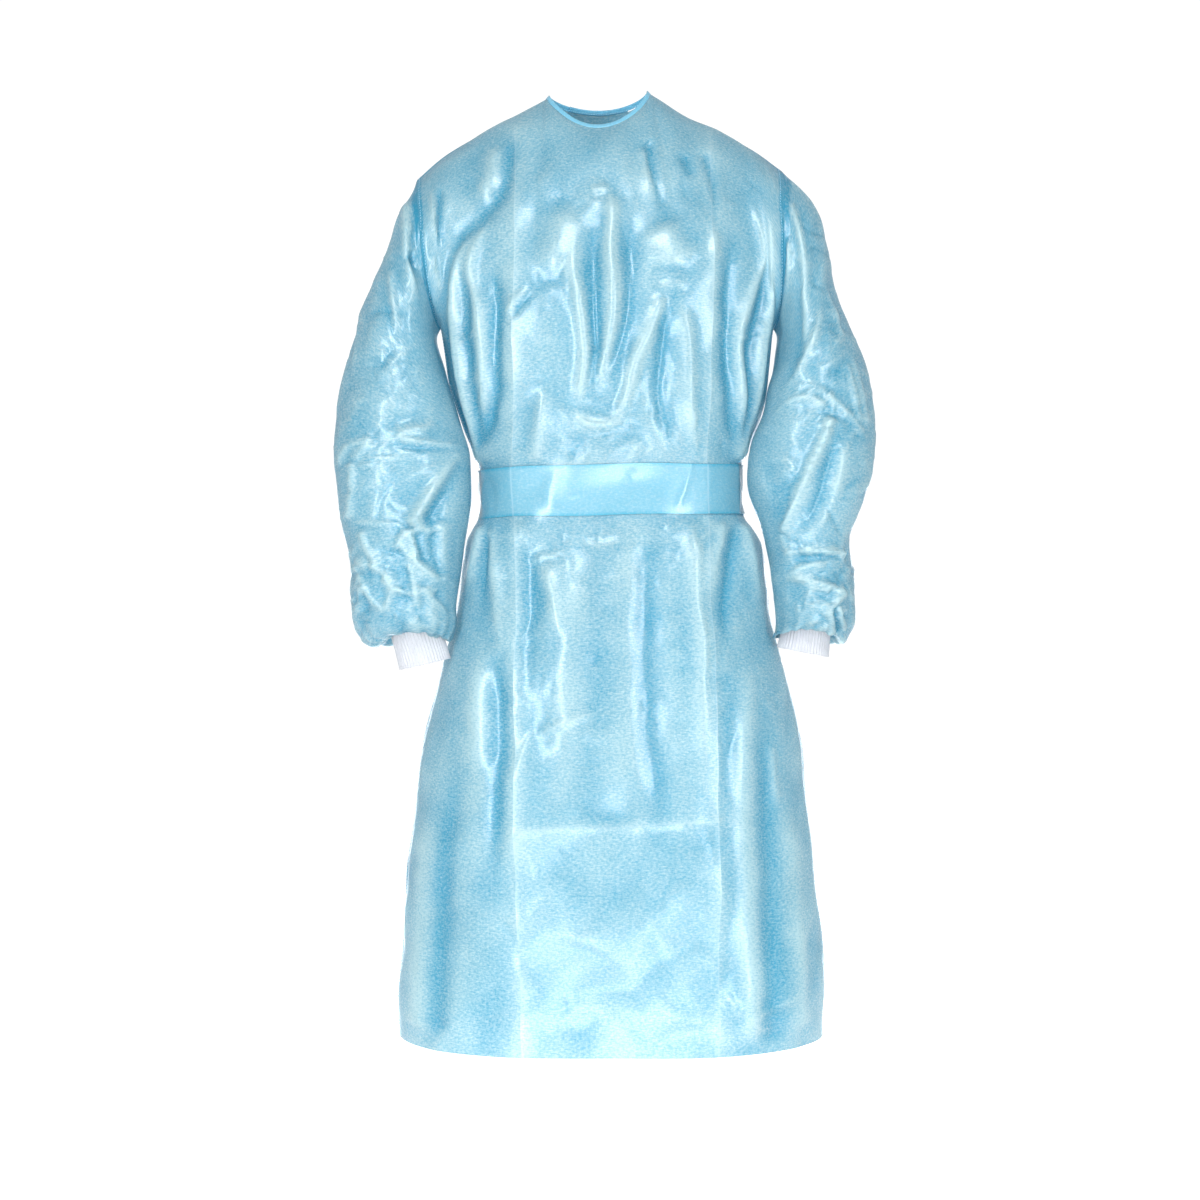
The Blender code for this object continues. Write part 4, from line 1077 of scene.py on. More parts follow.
def full_turn(count):
    """Even angles once round a ring, the last one short of the first."""
    return np.linspace(0.0, 2 * math.pi, count, endpoint=False)


def armhole_loop(side, count):
    """The armhole's edge: from the shoulder over the front to the armpit and back again."""
    turn = np.linspace(0.0, 2.0, count, endpoint=False)
    share = np.array([float(side)])
    down = shoulder_columns(share, 1.0 - turn[turn <= 1.0], FRONT)[:, 0]
    up = shoulder_columns(share, turn[turn > 1.0] - 1.0, BACK)[:, 0]
    return np.concatenate((down, up))


def sleeve_ring(row, count):
    """One ring of a sleeve, starting at its outer point and turning over the front."""
    turn = full_turn(count)
    outer = np.array((row.outer_x, row.mid_y, row.outer_z))
    inner = np.array((row.inner_x, row.mid_y, row.inner_z))
    ring = (outer + inner) / 2 + np.cos(turn)[:, None] * (outer - inner) / 2
    ring[:, 1] -= np.sin(turn) * row.half_depth
    ring[:, 2] += np.maximum(np.sin(turn), 0.0) * row.front_lift
    return ring


def cuff_ring(row, count, side, spread=0.0):
    """One ring of a cuff, starting at its outer side and turning over the front."""
    turn = full_turn(count)
    x = row.mid_x + side * (row.half_width + spread) * np.cos(turn)
    y = row.mid_y - (row.half_depth + spread) * np.sin(turn)
    return np.column_stack((x, y, row.mid_z - row.drop * np.cos(turn)))


def tube_lengths(grid):
    """Flat-cut lengths of a closed tube: round it and along it."""
    around = np.linalg.norm(np.diff(grid, axis=1), axis=2)
    along = np.linalg.norm(np.diff(grid, axis=0), axis=2)
    u, v = np.zeros(grid.shape[:2]), np.zeros(grid.shape[:2])
    u[:, 1:] = np.cumsum(around, axis=1)
    v[1:] = np.cumsum(along.mean(axis=1))[:, None]
    return u - u[:, -1:] / 2, v


def tube_outward(grid):
    """Unit normals of a closed tube, pointing away from its middle line."""
    around = np.roll(grid, -1, axis=1) - np.roll(grid, 1, axis=1)
    normal = np.cross(around, np.gradient(grid, axis=0))
    normal /= np.linalg.norm(normal, axis=2, keepdims=True)
    away = grid - grid.mean(axis=1, keepdims=True)
    return normal * np.sign((normal * away).sum(axis=2).mean())


# %% Build the sleeves
PLEATS = 15
PLEAT_HEIGHT = 0.0022
PLEAT_REACH = 0.030
PLEAT_END = 0.004
INNER_QUIET = 0.88
TO_BODY = (0.3, 0.9)
TO_FRONT = (-0.10, 0.30)
BACK_SEED_STEP = 5
SLEEVE_EASE = 0.010
SLEEVE_ROUND = 0.42
SLEEVE_FACETS = (Facets(0.062, 0.0034, 71), Facets(0.028, 0.0014, 75))
SLEEVE_SCATTER = {
    RIGHT: (
        Scatter(110, 31, (-335, -640), (-165, -150), (20, 75), (0.5, 1.6), (2.5, 5.5), 1.0),
        Scatter(60, 32, (-325, -680), (-180, -560), (16, 50), (0.8, 2.2), (2.5, 5.0), 1.0),
        Scatter(40, 33, (-335, -520), (-190, -340), (14, 36), (0.4, 1.0), (2.0, 3.5), 1.0),
    ),
    LEFT: (
        Scatter(110, 41, (180, -640), (335, -150), (20, 75), (0.5, 1.6), (2.5, 5.5), 1.0),
        Scatter(60, 42, (200, -675), (315, -560), (16, 50), (0.8, 2.2), (2.5, 5.0), 1.0),
        Scatter(40, 43, (190, -520), (335, -340), (14, 36), (0.4, 1.0), (2.0, 3.5), 1.0),
    ),
}
SLEEVE_FOLDS = {RIGHT: RIGHT_SLEEVE_FOLDS, LEFT: LEFT_SLEEVE_FOLDS}


def mirrored(folds):
    """The same folds for the other side of the gown."""
    return [fold._replace(points=tuple((-x, z) for x, z in fold.points)) for fold in folds]


def sleeve_piece(side, name, node):
    """A bloused sleeve with its creases."""
    rings = [armhole_loop(side, SLEEVE_POINTS)]
    rings += [sleeve_ring(row, SLEEVE_POINTS) for row in SLEEVE_ROWS[side]]
    for spread, rise in CUFF_SEAM_TURN:
        turned_in = cuff_ring(CUFF_ROWS[side][0], SLEEVE_POINTS, side, spread)
        rings.append(turned_in + (0.0, 0.0, rise))
    rings = np.array(rings)
    steps = np.linalg.norm(np.diff(rings, axis=0), axis=2).mean(axis=1)
    keys = np.concatenate(([0.0], np.cumsum(steps)))
    form = through_table(rings, keys, np.linspace(0.0, keys[-1], SLEEVE_RINGS))
    uv = tube_lengths(form)
    normal = tube_outward(form)
    x, z = form[:, :, 0], form[:, :, 2]
    height = np.zeros_like(x)
    for face, folds, seed_step in (
        (FRONT, SLEEVE_FOLDS[side], 0),
        (BACK, mirrored(SLEEVE_FOLDS[-side]), BACK_SEED_STEP),
    ):
        seeded = [draw._replace(seed=draw.seed + seed_step) for draw in SLEEVE_SCATTER[side]]
        facing = smooth(face * normal[:, :, 1], *TO_FRONT)
        height += (fold_height(x, z, folds) + scattered_height(x, z, seeded)) * facing
    along = uv[1]
    turn = full_turn(SLEEVE_POINTS)
    round_u = turn[None, :] / (2 * math.pi) * SLEEVE_ROUND + np.zeros_like(along)
    for size in SLEEVE_FACETS:
        height += facets(round_u, along, size._replace(seed=size.seed + side), SLEEVE_ROUND)
    to_body = smooth(-side * normal[:, :, 0], *TO_BODY)
    to_cuff = along[-1:] - along
    free = smooth(along, 0.0, SLEEVE_EASE) * (1.0 - INNER_QUIET * to_body)
    height *= free * smooth(to_cuff, 0.0, SLEEVE_EASE)
    pleats = np.cos(PLEATS * turn + 1.6 * np.sin(3 * turn + side))
    pleats = pleats * np.exp(-to_cuff / PLEAT_REACH) * smooth(to_cuff, 0, PLEAT_END)
    height += PLEAT_HEIGHT * pleats
    grid = form + normal * height[:, :, None]
    from_seam = np.minimum(np.minimum(along, to_cuff), MARK_REACH)
    marks = {"from_seam": from_seam, "relief": relief(height, True)}
    piece = cloth_piece(name, swayed(grid), uv, marks, closed=True)
    return stands_for(piece, node)


sleeve_right = sleeve_piece(RIGHT, "sleeve_of_right_arm", "sleeve_right")
sleeve_left = sleeve_piece(LEFT, "sleeve_of_left_arm", "sleeve_left")

# %% [markdown]
# ## The knitted cuffs
#
# The cuffs are white ribbed knit: a rib is a column of stitches that stands proud of its
# neighbours. Here each rib is a ripple in the form, and the single loops are left to the
# material. The lower edge is the knit's own turned edge, so it is a little fuller.

# %% Build the cuffs
KNIT_WALL = 0.0014
CUFF_RIBS = 46
POINTS_PER_RIB = 6
CUFF_RINGS = 30
RIB_HEIGHT = 0.00060
RIB_END = 0.003
CUFF_TUCK = 0.35
CUFF_WAVE = 0.0008
CUFF_WAVE_START = 0.03
EDGE_ROLL = 0.0006
EDGE_ROLL_REACH = 0.0022


def cuff_piece(side, name, node):
    """A ribbed tube, tucked a little way up inside the sleeve's seam."""
    count = CUFF_RIBS * POINTS_PER_RIB
    rings = np.array([cuff_ring(row, count, side) for row in CUFF_ROWS[side]])
    form = through_table(rings, np.arange(3.0), np.linspace(-CUFF_TUCK, 2.0, CUFF_RINGS))
    uv = tube_lengths(form)
    turn = full_turn(count)
    from_edge = uv[1][-1:] - uv[1]
    ribs = np.cos(CUFF_RIBS * turn + 0.25 * np.sin(uv[1] * 90.0))
    height = RIB_HEIGHT * ribs * smooth(from_edge, 0.0, RIB_END)
    height += EDGE_ROLL * np.exp(-((from_edge / EDGE_ROLL_REACH) ** 2))
    height += CUFF_WAVE * np.sin(3 * turn + side) * smooth(uv[1], 0.0, CUFF_WAVE_START)
    grid = form + tube_outward(form) * height[:, :, None]
    piece = cloth_piece(name, swayed(grid), uv, {}, wall=KNIT_WALL, closed=True)
    return stands_for(piece, node)


cuff_right = cuff_piece(RIGHT, "knitted_cuff_right", "cuff_right")
cuff_left = cuff_piece(LEFT, "knitted_cuff_left", "cuff_left")

# %% [markdown]
# ## The neck binding
#
# A narrow tape is folded over the raw neck edge and stitched down, so its cross-section is a
# flat capsule with the panel's edge inside it. It is swept along the neckline, from the edge
# of the upper back panel, over the front, to the edge of the under one.

# %% Build the neck binding
TAPE_HEIGHT = 0.0066
TAPE_HALF_THICKNESS = 0.0009
TAPE_OVERLAP = 0.0012
TAPE_SLOPE = math.radians(50)
TAPE_ACROSS = 20
TAPE_STEP = 0.0014
LAP_SAMPLES = 121
NECK_SAMPLES = 201
TAPE_RIPPLE = 0.00018
TAPE_RIPPLE_TURNS = (0.9, 0.23)


def evenly(points, step):
    """The same line with its points an even step apart."""
    steps = np.linalg.norm(np.diff(points, axis=0), axis=1)
    travelled = np.concatenate(([0.0], np.cumsum(steps)))
    places = np.linspace(0.0, travelled[-1], max(int(travelled[-1] / step), 2) + 1)
    return np.column_stack([np.interp(places, travelled, points[:, axis]) for axis in range(3)])


def neck_route():
    """The neckline from the upper back panel's edge, round the front, to the under one's."""
    lap = np.linspace(-NECK_SHARE, LAP_SHARE, LAP_SAMPLES)
    over = neckline(lap / NECK_SHARE, BACK)
    under = neckline(-lap / NECK_SHARE, BACK)
    under[:, 1] -= LAP_DEPTH * under_weight(-lap)
    in_front = neckline(np.linspace(-1.0, 1.0, NECK_SAMPLES)[1:-1], FRONT)
    return np.concatenate((over[::-1], in_front, under))


def capsule(across, half_height, half_thickness):
    """A flat capsule's outline: along its height and through its thickness."""
    turn = full_turn(across)
    flat = (half_height - half_thickness) * np.sign(np.cos(turn))
    return np.column_stack((flat + half_thickness * np.cos(turn), half_thickness * np.sin(turn)))


def unit(vectors):
    """The same directions, each one metre long."""
    return vectors / np.linalg.norm(vectors, axis=1, keepdims=True)


neck_line = evenly(neck_route(), TAPE_STEP)
tape_in = unit((np.array((NECK_X, 0.0, 0.0)) - neck_line) * (1.0, 1.0, 0.0))
tape_rise = tape_in * math.cos(TAPE_SLOPE) + np.array((0.0, 0.0, math.sin(TAPE_SLOPE)))
tape_out = unit(np.cross(tape_rise, np.gradient(neck_line, axis=0)))
tape_middle = neck_line + tape_rise * (TAPE_HEIGHT / 2 - TAPE_OVERLAP)
fast, slow = (np.sin(np.arange(len(neck_line)) * turns) for turns in TAPE_RIPPLE_TURNS)
outline = capsule(TAPE_ACROSS, TAPE_HEIGHT / 2, TAPE_HALF_THICKNESS)
tape_grid = (
    tape_middle[:, None]
    + tape_rise[:, None] * outline[None, :, :1]
    + tape_out[:, None] * (outline[None, :, 1:] + (TAPE_RIPPLE * fast * slow)[:, None, None])
)


def tube_piece(name, grid, node):
    """A closed tube with flat ends, one ring of points in each row."""
    rows, columns = grid.shape[:2]
    tube = bmesh.new()
    layer = tube.loops.layers.uv.new("flat_cut")
    rings = [[tube.verts.new(point) for point in ring] for ring in swayed(grid)]
    lengths = np.stack(tube_lengths(grid), axis=-1)
    for r in range(rows - 1):
        for c in range(columns):
            after, beside = (c + 1) % columns, min(c + 1, columns - 1)
            low, high = rings[r], rings[r + 1]
            face = tube.faces.new((low[c], low[after], high[after], high[c]))
            places = ((r, c), (r, beside), (r + 1, beside), (r + 1, c))
            for loop, place in zip(face.loops, places):
                loop[layer].uv = lengths[place]
    tube.faces.new(rings[0])
    tube.faces.new(rings[-1])
    bmesh.ops.recalc_face_normals(tube, faces=tube.faces)
    mesh = bpy.data.meshes.new(name)
    tube.to_mesh(mesh)
    tube.free()
    carry_marks(mesh, {})
    mesh.shade_smooth()
    mesh.set_sharp_from_angle(angle=SHARP_EDGE)
    print(f"{name}: {len(mesh.polygons) * 2} triangles")
    return stands_for(placed(name, mesh), node)


neck_binding = tube_piece("folded_neck_tape", tape_grid, "neck_binding")

# %% [markdown]
# ## The belt
#
# The belt is a single strip of a heavier cloth with narrow turned hems. It lies on the front,
# turns round the sides and narrows where it is pulled into the knot at the back. On the
# wearer's right it stands away from the side and is pinched to a point; on the left it turns
# with a crisp fold.

# %% Build the belt
BELT_WALL = 0.0009
BELT_HEM = 0.0045
BELT_LIFT = 0.0020
BELT_STOP_SHARE = 0.06
BELT_NARROW_SHARE = 0.30
BELT_NARROWING = 0.45
BELT_GATHER_SHARE = 0.24
BELT_GATHER = 0.0016
BELT_GATHER_TURNS = 13.0
BELT_TILT = 0.017
BELT_DROP = 0.0008
BELT_ROWS_ACROSS = 40
BELT_STEPS = 190
BELT_SMOOTHING = 3
HEM_WAVE = 0.0006
HEM_WAVE_TURNS = 41.0
HEM_WAVE_REACH = 0.01
PINCH = 0.0150
PINCH_PLACE = (-0.160, 0.030)
PINCH_REACH = 0.022
PINCH_NARROW = 1.25
PINCH_SHARP = 0.9
BELT_FOLDS = (
    Fold(1.2, 4, 1, 0.8, 0.05, 0.3, ((103, -463), (95, -494), (84, -524))),
    Fold(0.8, 3, 1, 0.8, 0.3, 0.3, ((-100, -500), (-60, -505), (-20, -500))),
    Fold(-0.9, 5, 1, 0.5, 0.2, 0.2, ((-142, -470), (-132, -500), (-136, -526))),
    Fold(1.3, 3, 1, 0.8, 0.1, 0.3, ((-145, -480), (-148, -500), (-146, -520))),
    Fold(-0.8, 8, 1, 0.2, 0.2, 0.2, ((30, -468), (36, -500), (30, -524))),
    Fold(0.7, 9, 1, 0.2, 0.2, 0.2, ((-60, -468), (-66, -500), (-62, -524))),
    Fold(1.5, 2.5, 1, 0.9, 0.1, 0.1, ((161, -466), (162, -500), (160, -526))),
)


def belt_part(shares, face):
    """One run of the belt: plain body form with the packing bend, moved out."""
    heights = np.linspace(BELT_BOTTOM_Z, BELT_TOP_Z, BELT_ROWS_ACROSS + 1)
    form = np.array([section(z, shares, face) for z in heights])
    creases = PACK_CREASES if face == FRONT else BACK_CREASES
    x, z = form[:, :, 0], form[:, :, 2]
    bend, mark, _ = pack_marks(x, z, creases)
    height = BELT_LIFT + bend
    if face == FRONT:
        height = height + fold_height(x, z, BELT_FOLDS)
    return form + outward(form, face) * height[:, :, None], mark


def belt_up(band):
    """How far up the belt's width each point lies, from -1 to 1."""
    return (band[:, :, 2] - BELT_MIDDLE_Z) / (BELT_TOP_Z - BELT_MIDDLE_Z)


def build_belt():
    """The band from the knot round the wearer's right side, the front and the left side."""
    back_shares = np.linspace(BELT_STOP_SHARE, 1.0, BELT_STEPS // 2)
    right, right_mark = belt_part(-back_shares, BACK)
    front_band, front_mark = belt_part(np.linspace(-1.0, 1.0, BELT_STEPS), FRONT)
    left, left_mark = belt_part(back_shares, BACK)
    narrow = 1.0 - smooth(back_shares, BELT_STOP_SHARE, BELT_NARROW_SHARE)
    gather = 1.0 - smooth(back_shares, BELT_STOP_SHARE, BELT_GATHER_SHARE)
    for part in (right, left):
        above = part[:, :, 2] - BELT_MIDDLE_Z
        part[:, :, 2] = BELT_MIDDLE_Z + above * (1.0 - BELT_NARROWING * narrow)
        pleats = 1.0 + np.cos(belt_up(part) * BELT_GATHER_TURNS)
        part[:, :, 1] += BELT_GATHER * gather * pleats
    band = np.concatenate((right, front_band[:, 1:-1], left[:, ::-1]), axis=1)
    mark = np.concatenate((right_mark, front_mark[:, 1:-1], left_mark[:, ::-1]), axis=1)
    band = relaxed(band, BELT_SMOOTHING)
    up = belt_up(band)
    away = np.hypot(band[:, :, 0] - PINCH_PLACE[0], band[:, :, 1] - PINCH_PLACE[1])
    at_side = np.exp(-((away / PINCH_REACH) ** 2)) * (band[:, :, 0] < 0)
    band[:, :, 0] -= PINCH * at_side * crest(up * PINCH_NARROW, PINCH_SHARP)
    band[:, :, 2] += BELT_TILT * band[:, :, 0] - BELT_DROP
    uv = cloth_lengths(band)
    edge = np.minimum(uv[1], uv[1][-1:] - uv[1])
    band[:, :, 2] += HEM_WAVE * np.sin(uv[0] * HEM_WAVE_TURNS) * np.exp(-edge / HEM_WAVE_REACH)
    marks = {"crease_along": mark, "from_seam": edge + BELT_HEM}
    piece = cloth_piece("flat_belt", swayed(band), uv, marks, wall=BELT_WALL)
    return stands_for(piece, "belt"), band


belt, belt_band = build_belt()

# %% [markdown]
# ## The knot
#
# The two ends of the belt are tied once at the back. A tied band is pulled into pleats, so
# the knot here is a waisted roll with long ripples, held by a narrower band that wraps round
# its middle at a slant. Both lie inside the flat ball that stands for the knot in the CAD.

# %% Build the knot
KNOT_HALF = (0.0315, 0.0088, 0.0190)
KNOT_LIFT = 0.0122
KNOT_ALONG = 96
KNOT_AROUND = 84
KNOT_PLEATS = 7
KNOT_FINE_PLEATS = 13
PLEAT_RISE = 0.075
FINE_PLEAT_RISE = 0.045
KNOT_SAG = 0.0030
WRAP_HALF_WIDTH = 0.0105
WRAP_SLANT = 0.42
WRAP_ACROSS = 40
KNOT_SWELL = (0.62, 0.88, 1.0, 0.86, 0.64, 0.50, 0.62, 0.84, 1.0, 0.90, 0.66)
SWELL_BLUR = 9

knot_seat = section(BELT_MIDDLE_Z, np.zeros(1), BACK)[0]
knot_middle = knot_seat + (0.0, KNOT_LIFT, 0.0)
turn = full_turn(KNOT_AROUND)
round_y, round_z = KNOT_HALF[1] * np.sin(turn), KNOT_HALF[2] * np.cos(turn)
along = np.linspace(-1.0, 1.0, KNOT_ALONG)
swell = np.interp(along, np.linspace(-1.0, 1.0, len(KNOT_SWELL)), KNOT_SWELL)
blur = np.ones(SWELL_BLUR) / SWELL_BLUR
swell = np.convolve(np.pad(swell, SWELL_BLUR // 2, mode="edge"), blur, mode="valid")[:, None]
along = along[:, None]
ripple = 1.0 + PLEAT_RISE * np.cos(KNOT_PLEATS * turn + 2.2 * np.sin(2.4 * along))
ripple += FINE_PLEAT_RISE * np.cos(KNOT_FINE_PLEATS * turn - 3.0 * along)
roll = np.empty((KNOT_ALONG, KNOT_AROUND, 3))
roll[:, :, 0] = KNOT_HALF[0] * along
roll[:, :, 1] = 0.86 * swell * round_y * ripple
roll[:, :, 2] = 0.94 * swell * round_z * ripple - KNOT_SAG * along**2
knot_roll = tube_piece("knot_roll", roll + knot_middle, "belt_knot")

across = np.linspace(-1.0, 1.0, WRAP_ACROSS)[:, None]
pleat = 1.0 + 0.055 * np.cos(across * 8.5 + 0.8 * np.sin(turn)) - 0.14 * across**2
wrap = np.empty((WRAP_ACROSS, KNOT_AROUND, 3))
wrap[:, :, 0] = WRAP_HALF_WIDTH * across * (1.0 - 0.25 * np.cos(turn)) + 0.6 * WRAP_SLANT * round_z
wrap[:, :, 1] = 0.96 * round_y * pleat
wrap[:, :, 2] = 0.80 * round_z * pleat
wrap_form = swayed(wrap + knot_middle)
knot_wrap = cloth_piece("knot_wrap", wrap_form, tube_lengths(wrap), {}, BELT_WALL, True)
stands_for(knot_wrap, None)

# %% [markdown]
# ## The belt's two free ends
#
# Below the knot the two ends hang on the back panel. They leave the knot gathered and open to
# nearly their full width. A hanging end doesn't sink into every hollow behind it, so its
# sheet follows the highest place near each point of the back.

# %% Build the belt's ends
BeltEnd = namedtuple("BeltEnd", "top_x end_x top_z end_z top_half end_half pleat_turns")
BELT_ENDS = {
    LEFT: BeltEnd(0.014, 0.046, -0.508, -0.850, 0.0110, 0.0268, 1.6),
    RIGHT: BeltEnd(-0.014, -0.060, -0.508, -0.905, 0.0110, 0.0268, -1.8),
}
END_ROWS = 150
END_COLUMNS = 36
END_CLEARANCE = 0.0030
END_KNOT_LIFT = 0.0036
END_KNOT_REACH = 0.18
END_WIDENING = 0.60
END_SWING = 0.0035
END_SLANT = 0.0016
END_WAVE = 0.0011
END_SMOOTHING = 6
END_CREASES = (0.11, 0.235)
HIGHEST_REACH = 3
BACK_SAMPLED = (-0.8, 0.8, 161)
PLEAT_DEPTH = 0.0024
PLEAT_LEFT = 0.16
PLEAT_FADE = 0.75


def back_out(x, z):
    """How far back the cloth of the back stands at each place below the belt."""
    shares = np.linspace(*BACK_SAMPLED)
    y = np.empty_like(x)
    for index in range(len(x)):
        row = section(z[index, 0], shares, BACK)
        y[index] = np.interp(x[index], row[:, 0], row[:, 1])
    bend = pack_marks(x, z, BACK_CREASES)[0]
    return y + (back_folds(x, z) + bend) * smooth(BELT_BOTTOM_Z - z, *BELT_EASE)


def highest_near(values, reach):
    """The highest value within some rows and columns of each one."""
    for step in range(1, reach + 1):
        moved = [np.roll(values, shift, axis) for axis in (0, 1) for shift in (step, -step)]
        values = np.maximum.reduce([values, *moved])
    return values


def belt_end(side, name, node):
    """One free end of the belt, from under the knot to its cut edge."""
    end = BELT_ENDS[side]
    down = np.linspace(1.0, 0.0, END_ROWS)[:, None]
    across = np.linspace(-1.0, 1.0, END_COLUMNS)[None, :]
    half = end.top_half + (end.end_half - end.top_half) * smooth(down, 0.0, END_WIDENING)
    swing = END_SWING * np.sin(5.0 * down + side) * down
    x = knot_seat[0] + end.top_x + (end.end_x - end.top_x) * down + half * across + swing
    z = end.top_z + (end.end_z - end.top_z) * down + END_SLANT * np.sin(2.2 * across + side)
    y = highest_near(back_out(x, z), HIGHEST_REACH) + END_CLEARANCE
    y += END_KNOT_LIFT * (1.0 - smooth(down, 0.0, END_KNOT_REACH))
    pleats = np.cos(math.pi * end.pleat_turns * across * (1.0 - 0.35 * down) + 0.7)
    fade = 1.0 - smooth(down, 0.0, PLEAT_FADE)
    y += PLEAT_DEPTH * pleats * (PLEAT_LEFT + (1.0 - PLEAT_LEFT) * fade)
    y += END_WAVE * np.sin(24.0 * down + 2.0 * across) * smooth(down, 0.1, 0.4)
    grid = relaxed(np.stack((x, y, z), axis=-1), END_SMOOTHING)
    uv = cloth_lengths(grid)
    edge = np.minimum(uv[0] - uv[0][:, :1], uv[0][:, -1:] - uv[0])
    low, high = uv[1] - END_CREASES[0], END_CREASES[1] - uv[1]
    crossing = np.where(np.abs(low) < np.abs(high), low, high)
    marks = {"crease_across": crossing, "from_seam": edge + BELT_HEM}
    piece = cloth_piece(name, swayed(grid), uv, marks, wall=BELT_WALL)
    return stands_for(piece, node)


belt_end_left = belt_end(LEFT, "belt_end_left", "belt_tail_left")
belt_end_right = belt_end(RIGHT, "belt_end_right", "belt_tail_right")

# %% [markdown]
# ## The closing tab at the neck
#
# A short piece of hook-and-loop tape closes the lapped back panels under the neck binding.
# Its corners are cut round, so that they don't scratch.

# %% Build the closing tab
TAB_SHARES = (-0.16, 0.06)
TAB_RISES = (0.87, 0.955)
TAB_LIFT = 0.0022
TAB_WALL = 0.0014
TAB_ROWS = 30
TAB_COLUMNS = 60
TAB_CORNER = 7.0
TAB_CUT = 0.92

tab_a = np.linspace(-1.0, 1.0, TAB_COLUMNS)
tab_mid, tab_half = sum(TAB_SHARES) / 2, (TAB_SHARES[1] - TAB_SHARES[0]) / 2
tab_grid = np.empty((TAB_ROWS, TAB_COLUMNS, 3))
for index, b in enumerate(np.linspace(-1.0, 1.0, TAB_ROWS)):
    width = (1.0 - TAB_CUT * abs(b) ** TAB_CORNER) ** (1.0 / TAB_CORNER)
    rise = sum(TAB_RISES) / 2 + (TAB_RISES[1] - TAB_RISES[0]) / 2 * b
    shares = tab_mid + tab_half * tab_a * width
    tab_grid[index] = shoulder_columns(shares, np.array([rise]), BACK)[0]
tab_grid = tab_grid + outward(tab_grid, BACK) * TAB_LIFT
tab = cloth_piece("closing_tab", swayed(tab_grid), cloth_lengths(tab_grid), {}, TAB_WALL)
stands_for(tab, "neck_tab")

# %% [markdown]
# ## Stitches
#
# A row of stitches is one short thread, repeated along a line. That is what Geometry Nodes
# are for: the tree spaces points evenly along a curve, sets a little thread on each, turned
# to the line and tilted by a small seeded amount, and makes the result real mesh. `add_node`
# adds one node with its settings and sockets, here and in every material below.

# %% Adding nodes
NODE_GAP = 190


def put(tree, socket, value):
    """Give a socket a link or a plain value."""
    value = getattr(value, "socket", value)
    if isinstance(value, bpy.types.NodeSocket):
        tree.links.new(value, socket)
    else:
        socket.default_value = value


def add_node(tree, kind, settings=None, values=None):
    """Add a node: its settings first, then the values or links of its sockets."""
    node = tree.nodes.new(kind)
    node.location = (NODE_GAP * len(tree.nodes), 0.0)
    for setting, value in (settings or {}).items():
        setattr(node, setting, value)
    for socket, value in (values or {}).items():
        put(tree, node.inputs[socket], value)
    return node.outputs


# %% The stitch tree
STITCH_SETTINGS = (
    ("Line", "NodeSocketGeometry", None),
    ("Pitch", "NodeSocketFloat", 0.0032),
    ("Thread length", "NodeSocketFloat", 0.0024),
    ("Thread thickness", "NodeSocketFloat", 0.0005),
    ("Unevenness", "NodeSocketFloat", 0.08),
    ("Seed", "NodeSocketInt", 5),
    ("Thread", "NodeSocketMaterial", None),
)


def stitch_tree():
    """Points along a curve, a thread on each, then real mesh with the thread's material."""
    tree = bpy.data.node_groups.new("stitch_row", "GeometryNodeTree")
    inputs = {}
    for socket, kind, value in STITCH_SETTINGS:
        made = tree.interface.new_socket(socket, in_out="INPUT", socket_type=kind)
        if value is not None:
            made.default_value = value
        inputs[socket] = made.identifier
    tree.interface.new_socket("Stitches", in_out="OUTPUT", socket_type="NodeSocketGeometry")
    add = partial(add_node, tree)
    given = add("NodeGroupInput")
    line = {"Curve": given["Line"], "Length": given["Pitch"]}
    points = add("GeometryNodeResampleCurve", {"mode": "LENGTH"}, line)
    ball = add("GeometryNodeMeshUVSphere", None, {"Segments": 5, "Rings": 4, "Radius": 0.5})
    thick = given["Thread thickness"]
    size = add("ShaderNodeCombineXYZ", None, {0: given["Thread length"], 1: thick, 2: thick})
    tangent = add("GeometryNodeInputTangent")
    facing = add("FunctionNodeAlignRotationToVector", {"axis": "X"}, {"Vector": tangent[0]})
    most = given["Unevenness"]
    least = add("ShaderNodeMath", {"operation": "MULTIPLY"}, {0: most, 1: -1.0})
    draw = {2: least[0], 3: most, "Seed": given["Seed"]}
    tilt = add("FunctionNodeRandomValue", {"data_type": "FLOAT"}, draw)
    about_up = add("ShaderNodeCombineXYZ", None, {"Z": tilt[1]})
    tilted = add("FunctionNodeEulerToRotation", None, {0: about_up[0]})
    both = {0: facing[0], 1: tilted[0]}
    turned = add("FunctionNodeRotateRotation", {"rotation_space": "LOCAL"}, both)
    each = {"Points": points[0], "Instance": ball["Mesh"], "Rotation": turned[0]}
    threads = add("GeometryNodeInstanceOnPoints", None, {**each, "Scale": size[0]})
    real = add("GeometryNodeRealizeInstances", None, {0: threads[0]})
    smooth_thread = add("GeometryNodeSetShadeSmooth", None, {0: real[0]})
    paint = {"Geometry": smooth_thread[0], "Material": given["Thread"]}
    painted = add("GeometryNodeSetMaterial", None, paint)
    add("NodeGroupOutput", None, {0: painted[0]})
    return tree, inputs


STITCH_TREE, STITCH_INPUTS = stitch_tree()
print("stitch tree inputs:", ", ".join(STITCH_INPUTS))

# %% [markdown]
# ## Materials
#
# A material's formula is easiest to read as a formula. The class `Amount` wraps one socket,
# and each `+`, `-` or `*` on it adds the Math node that does the same. `Finish` holds one
# material, and its method `add` adds any other node.

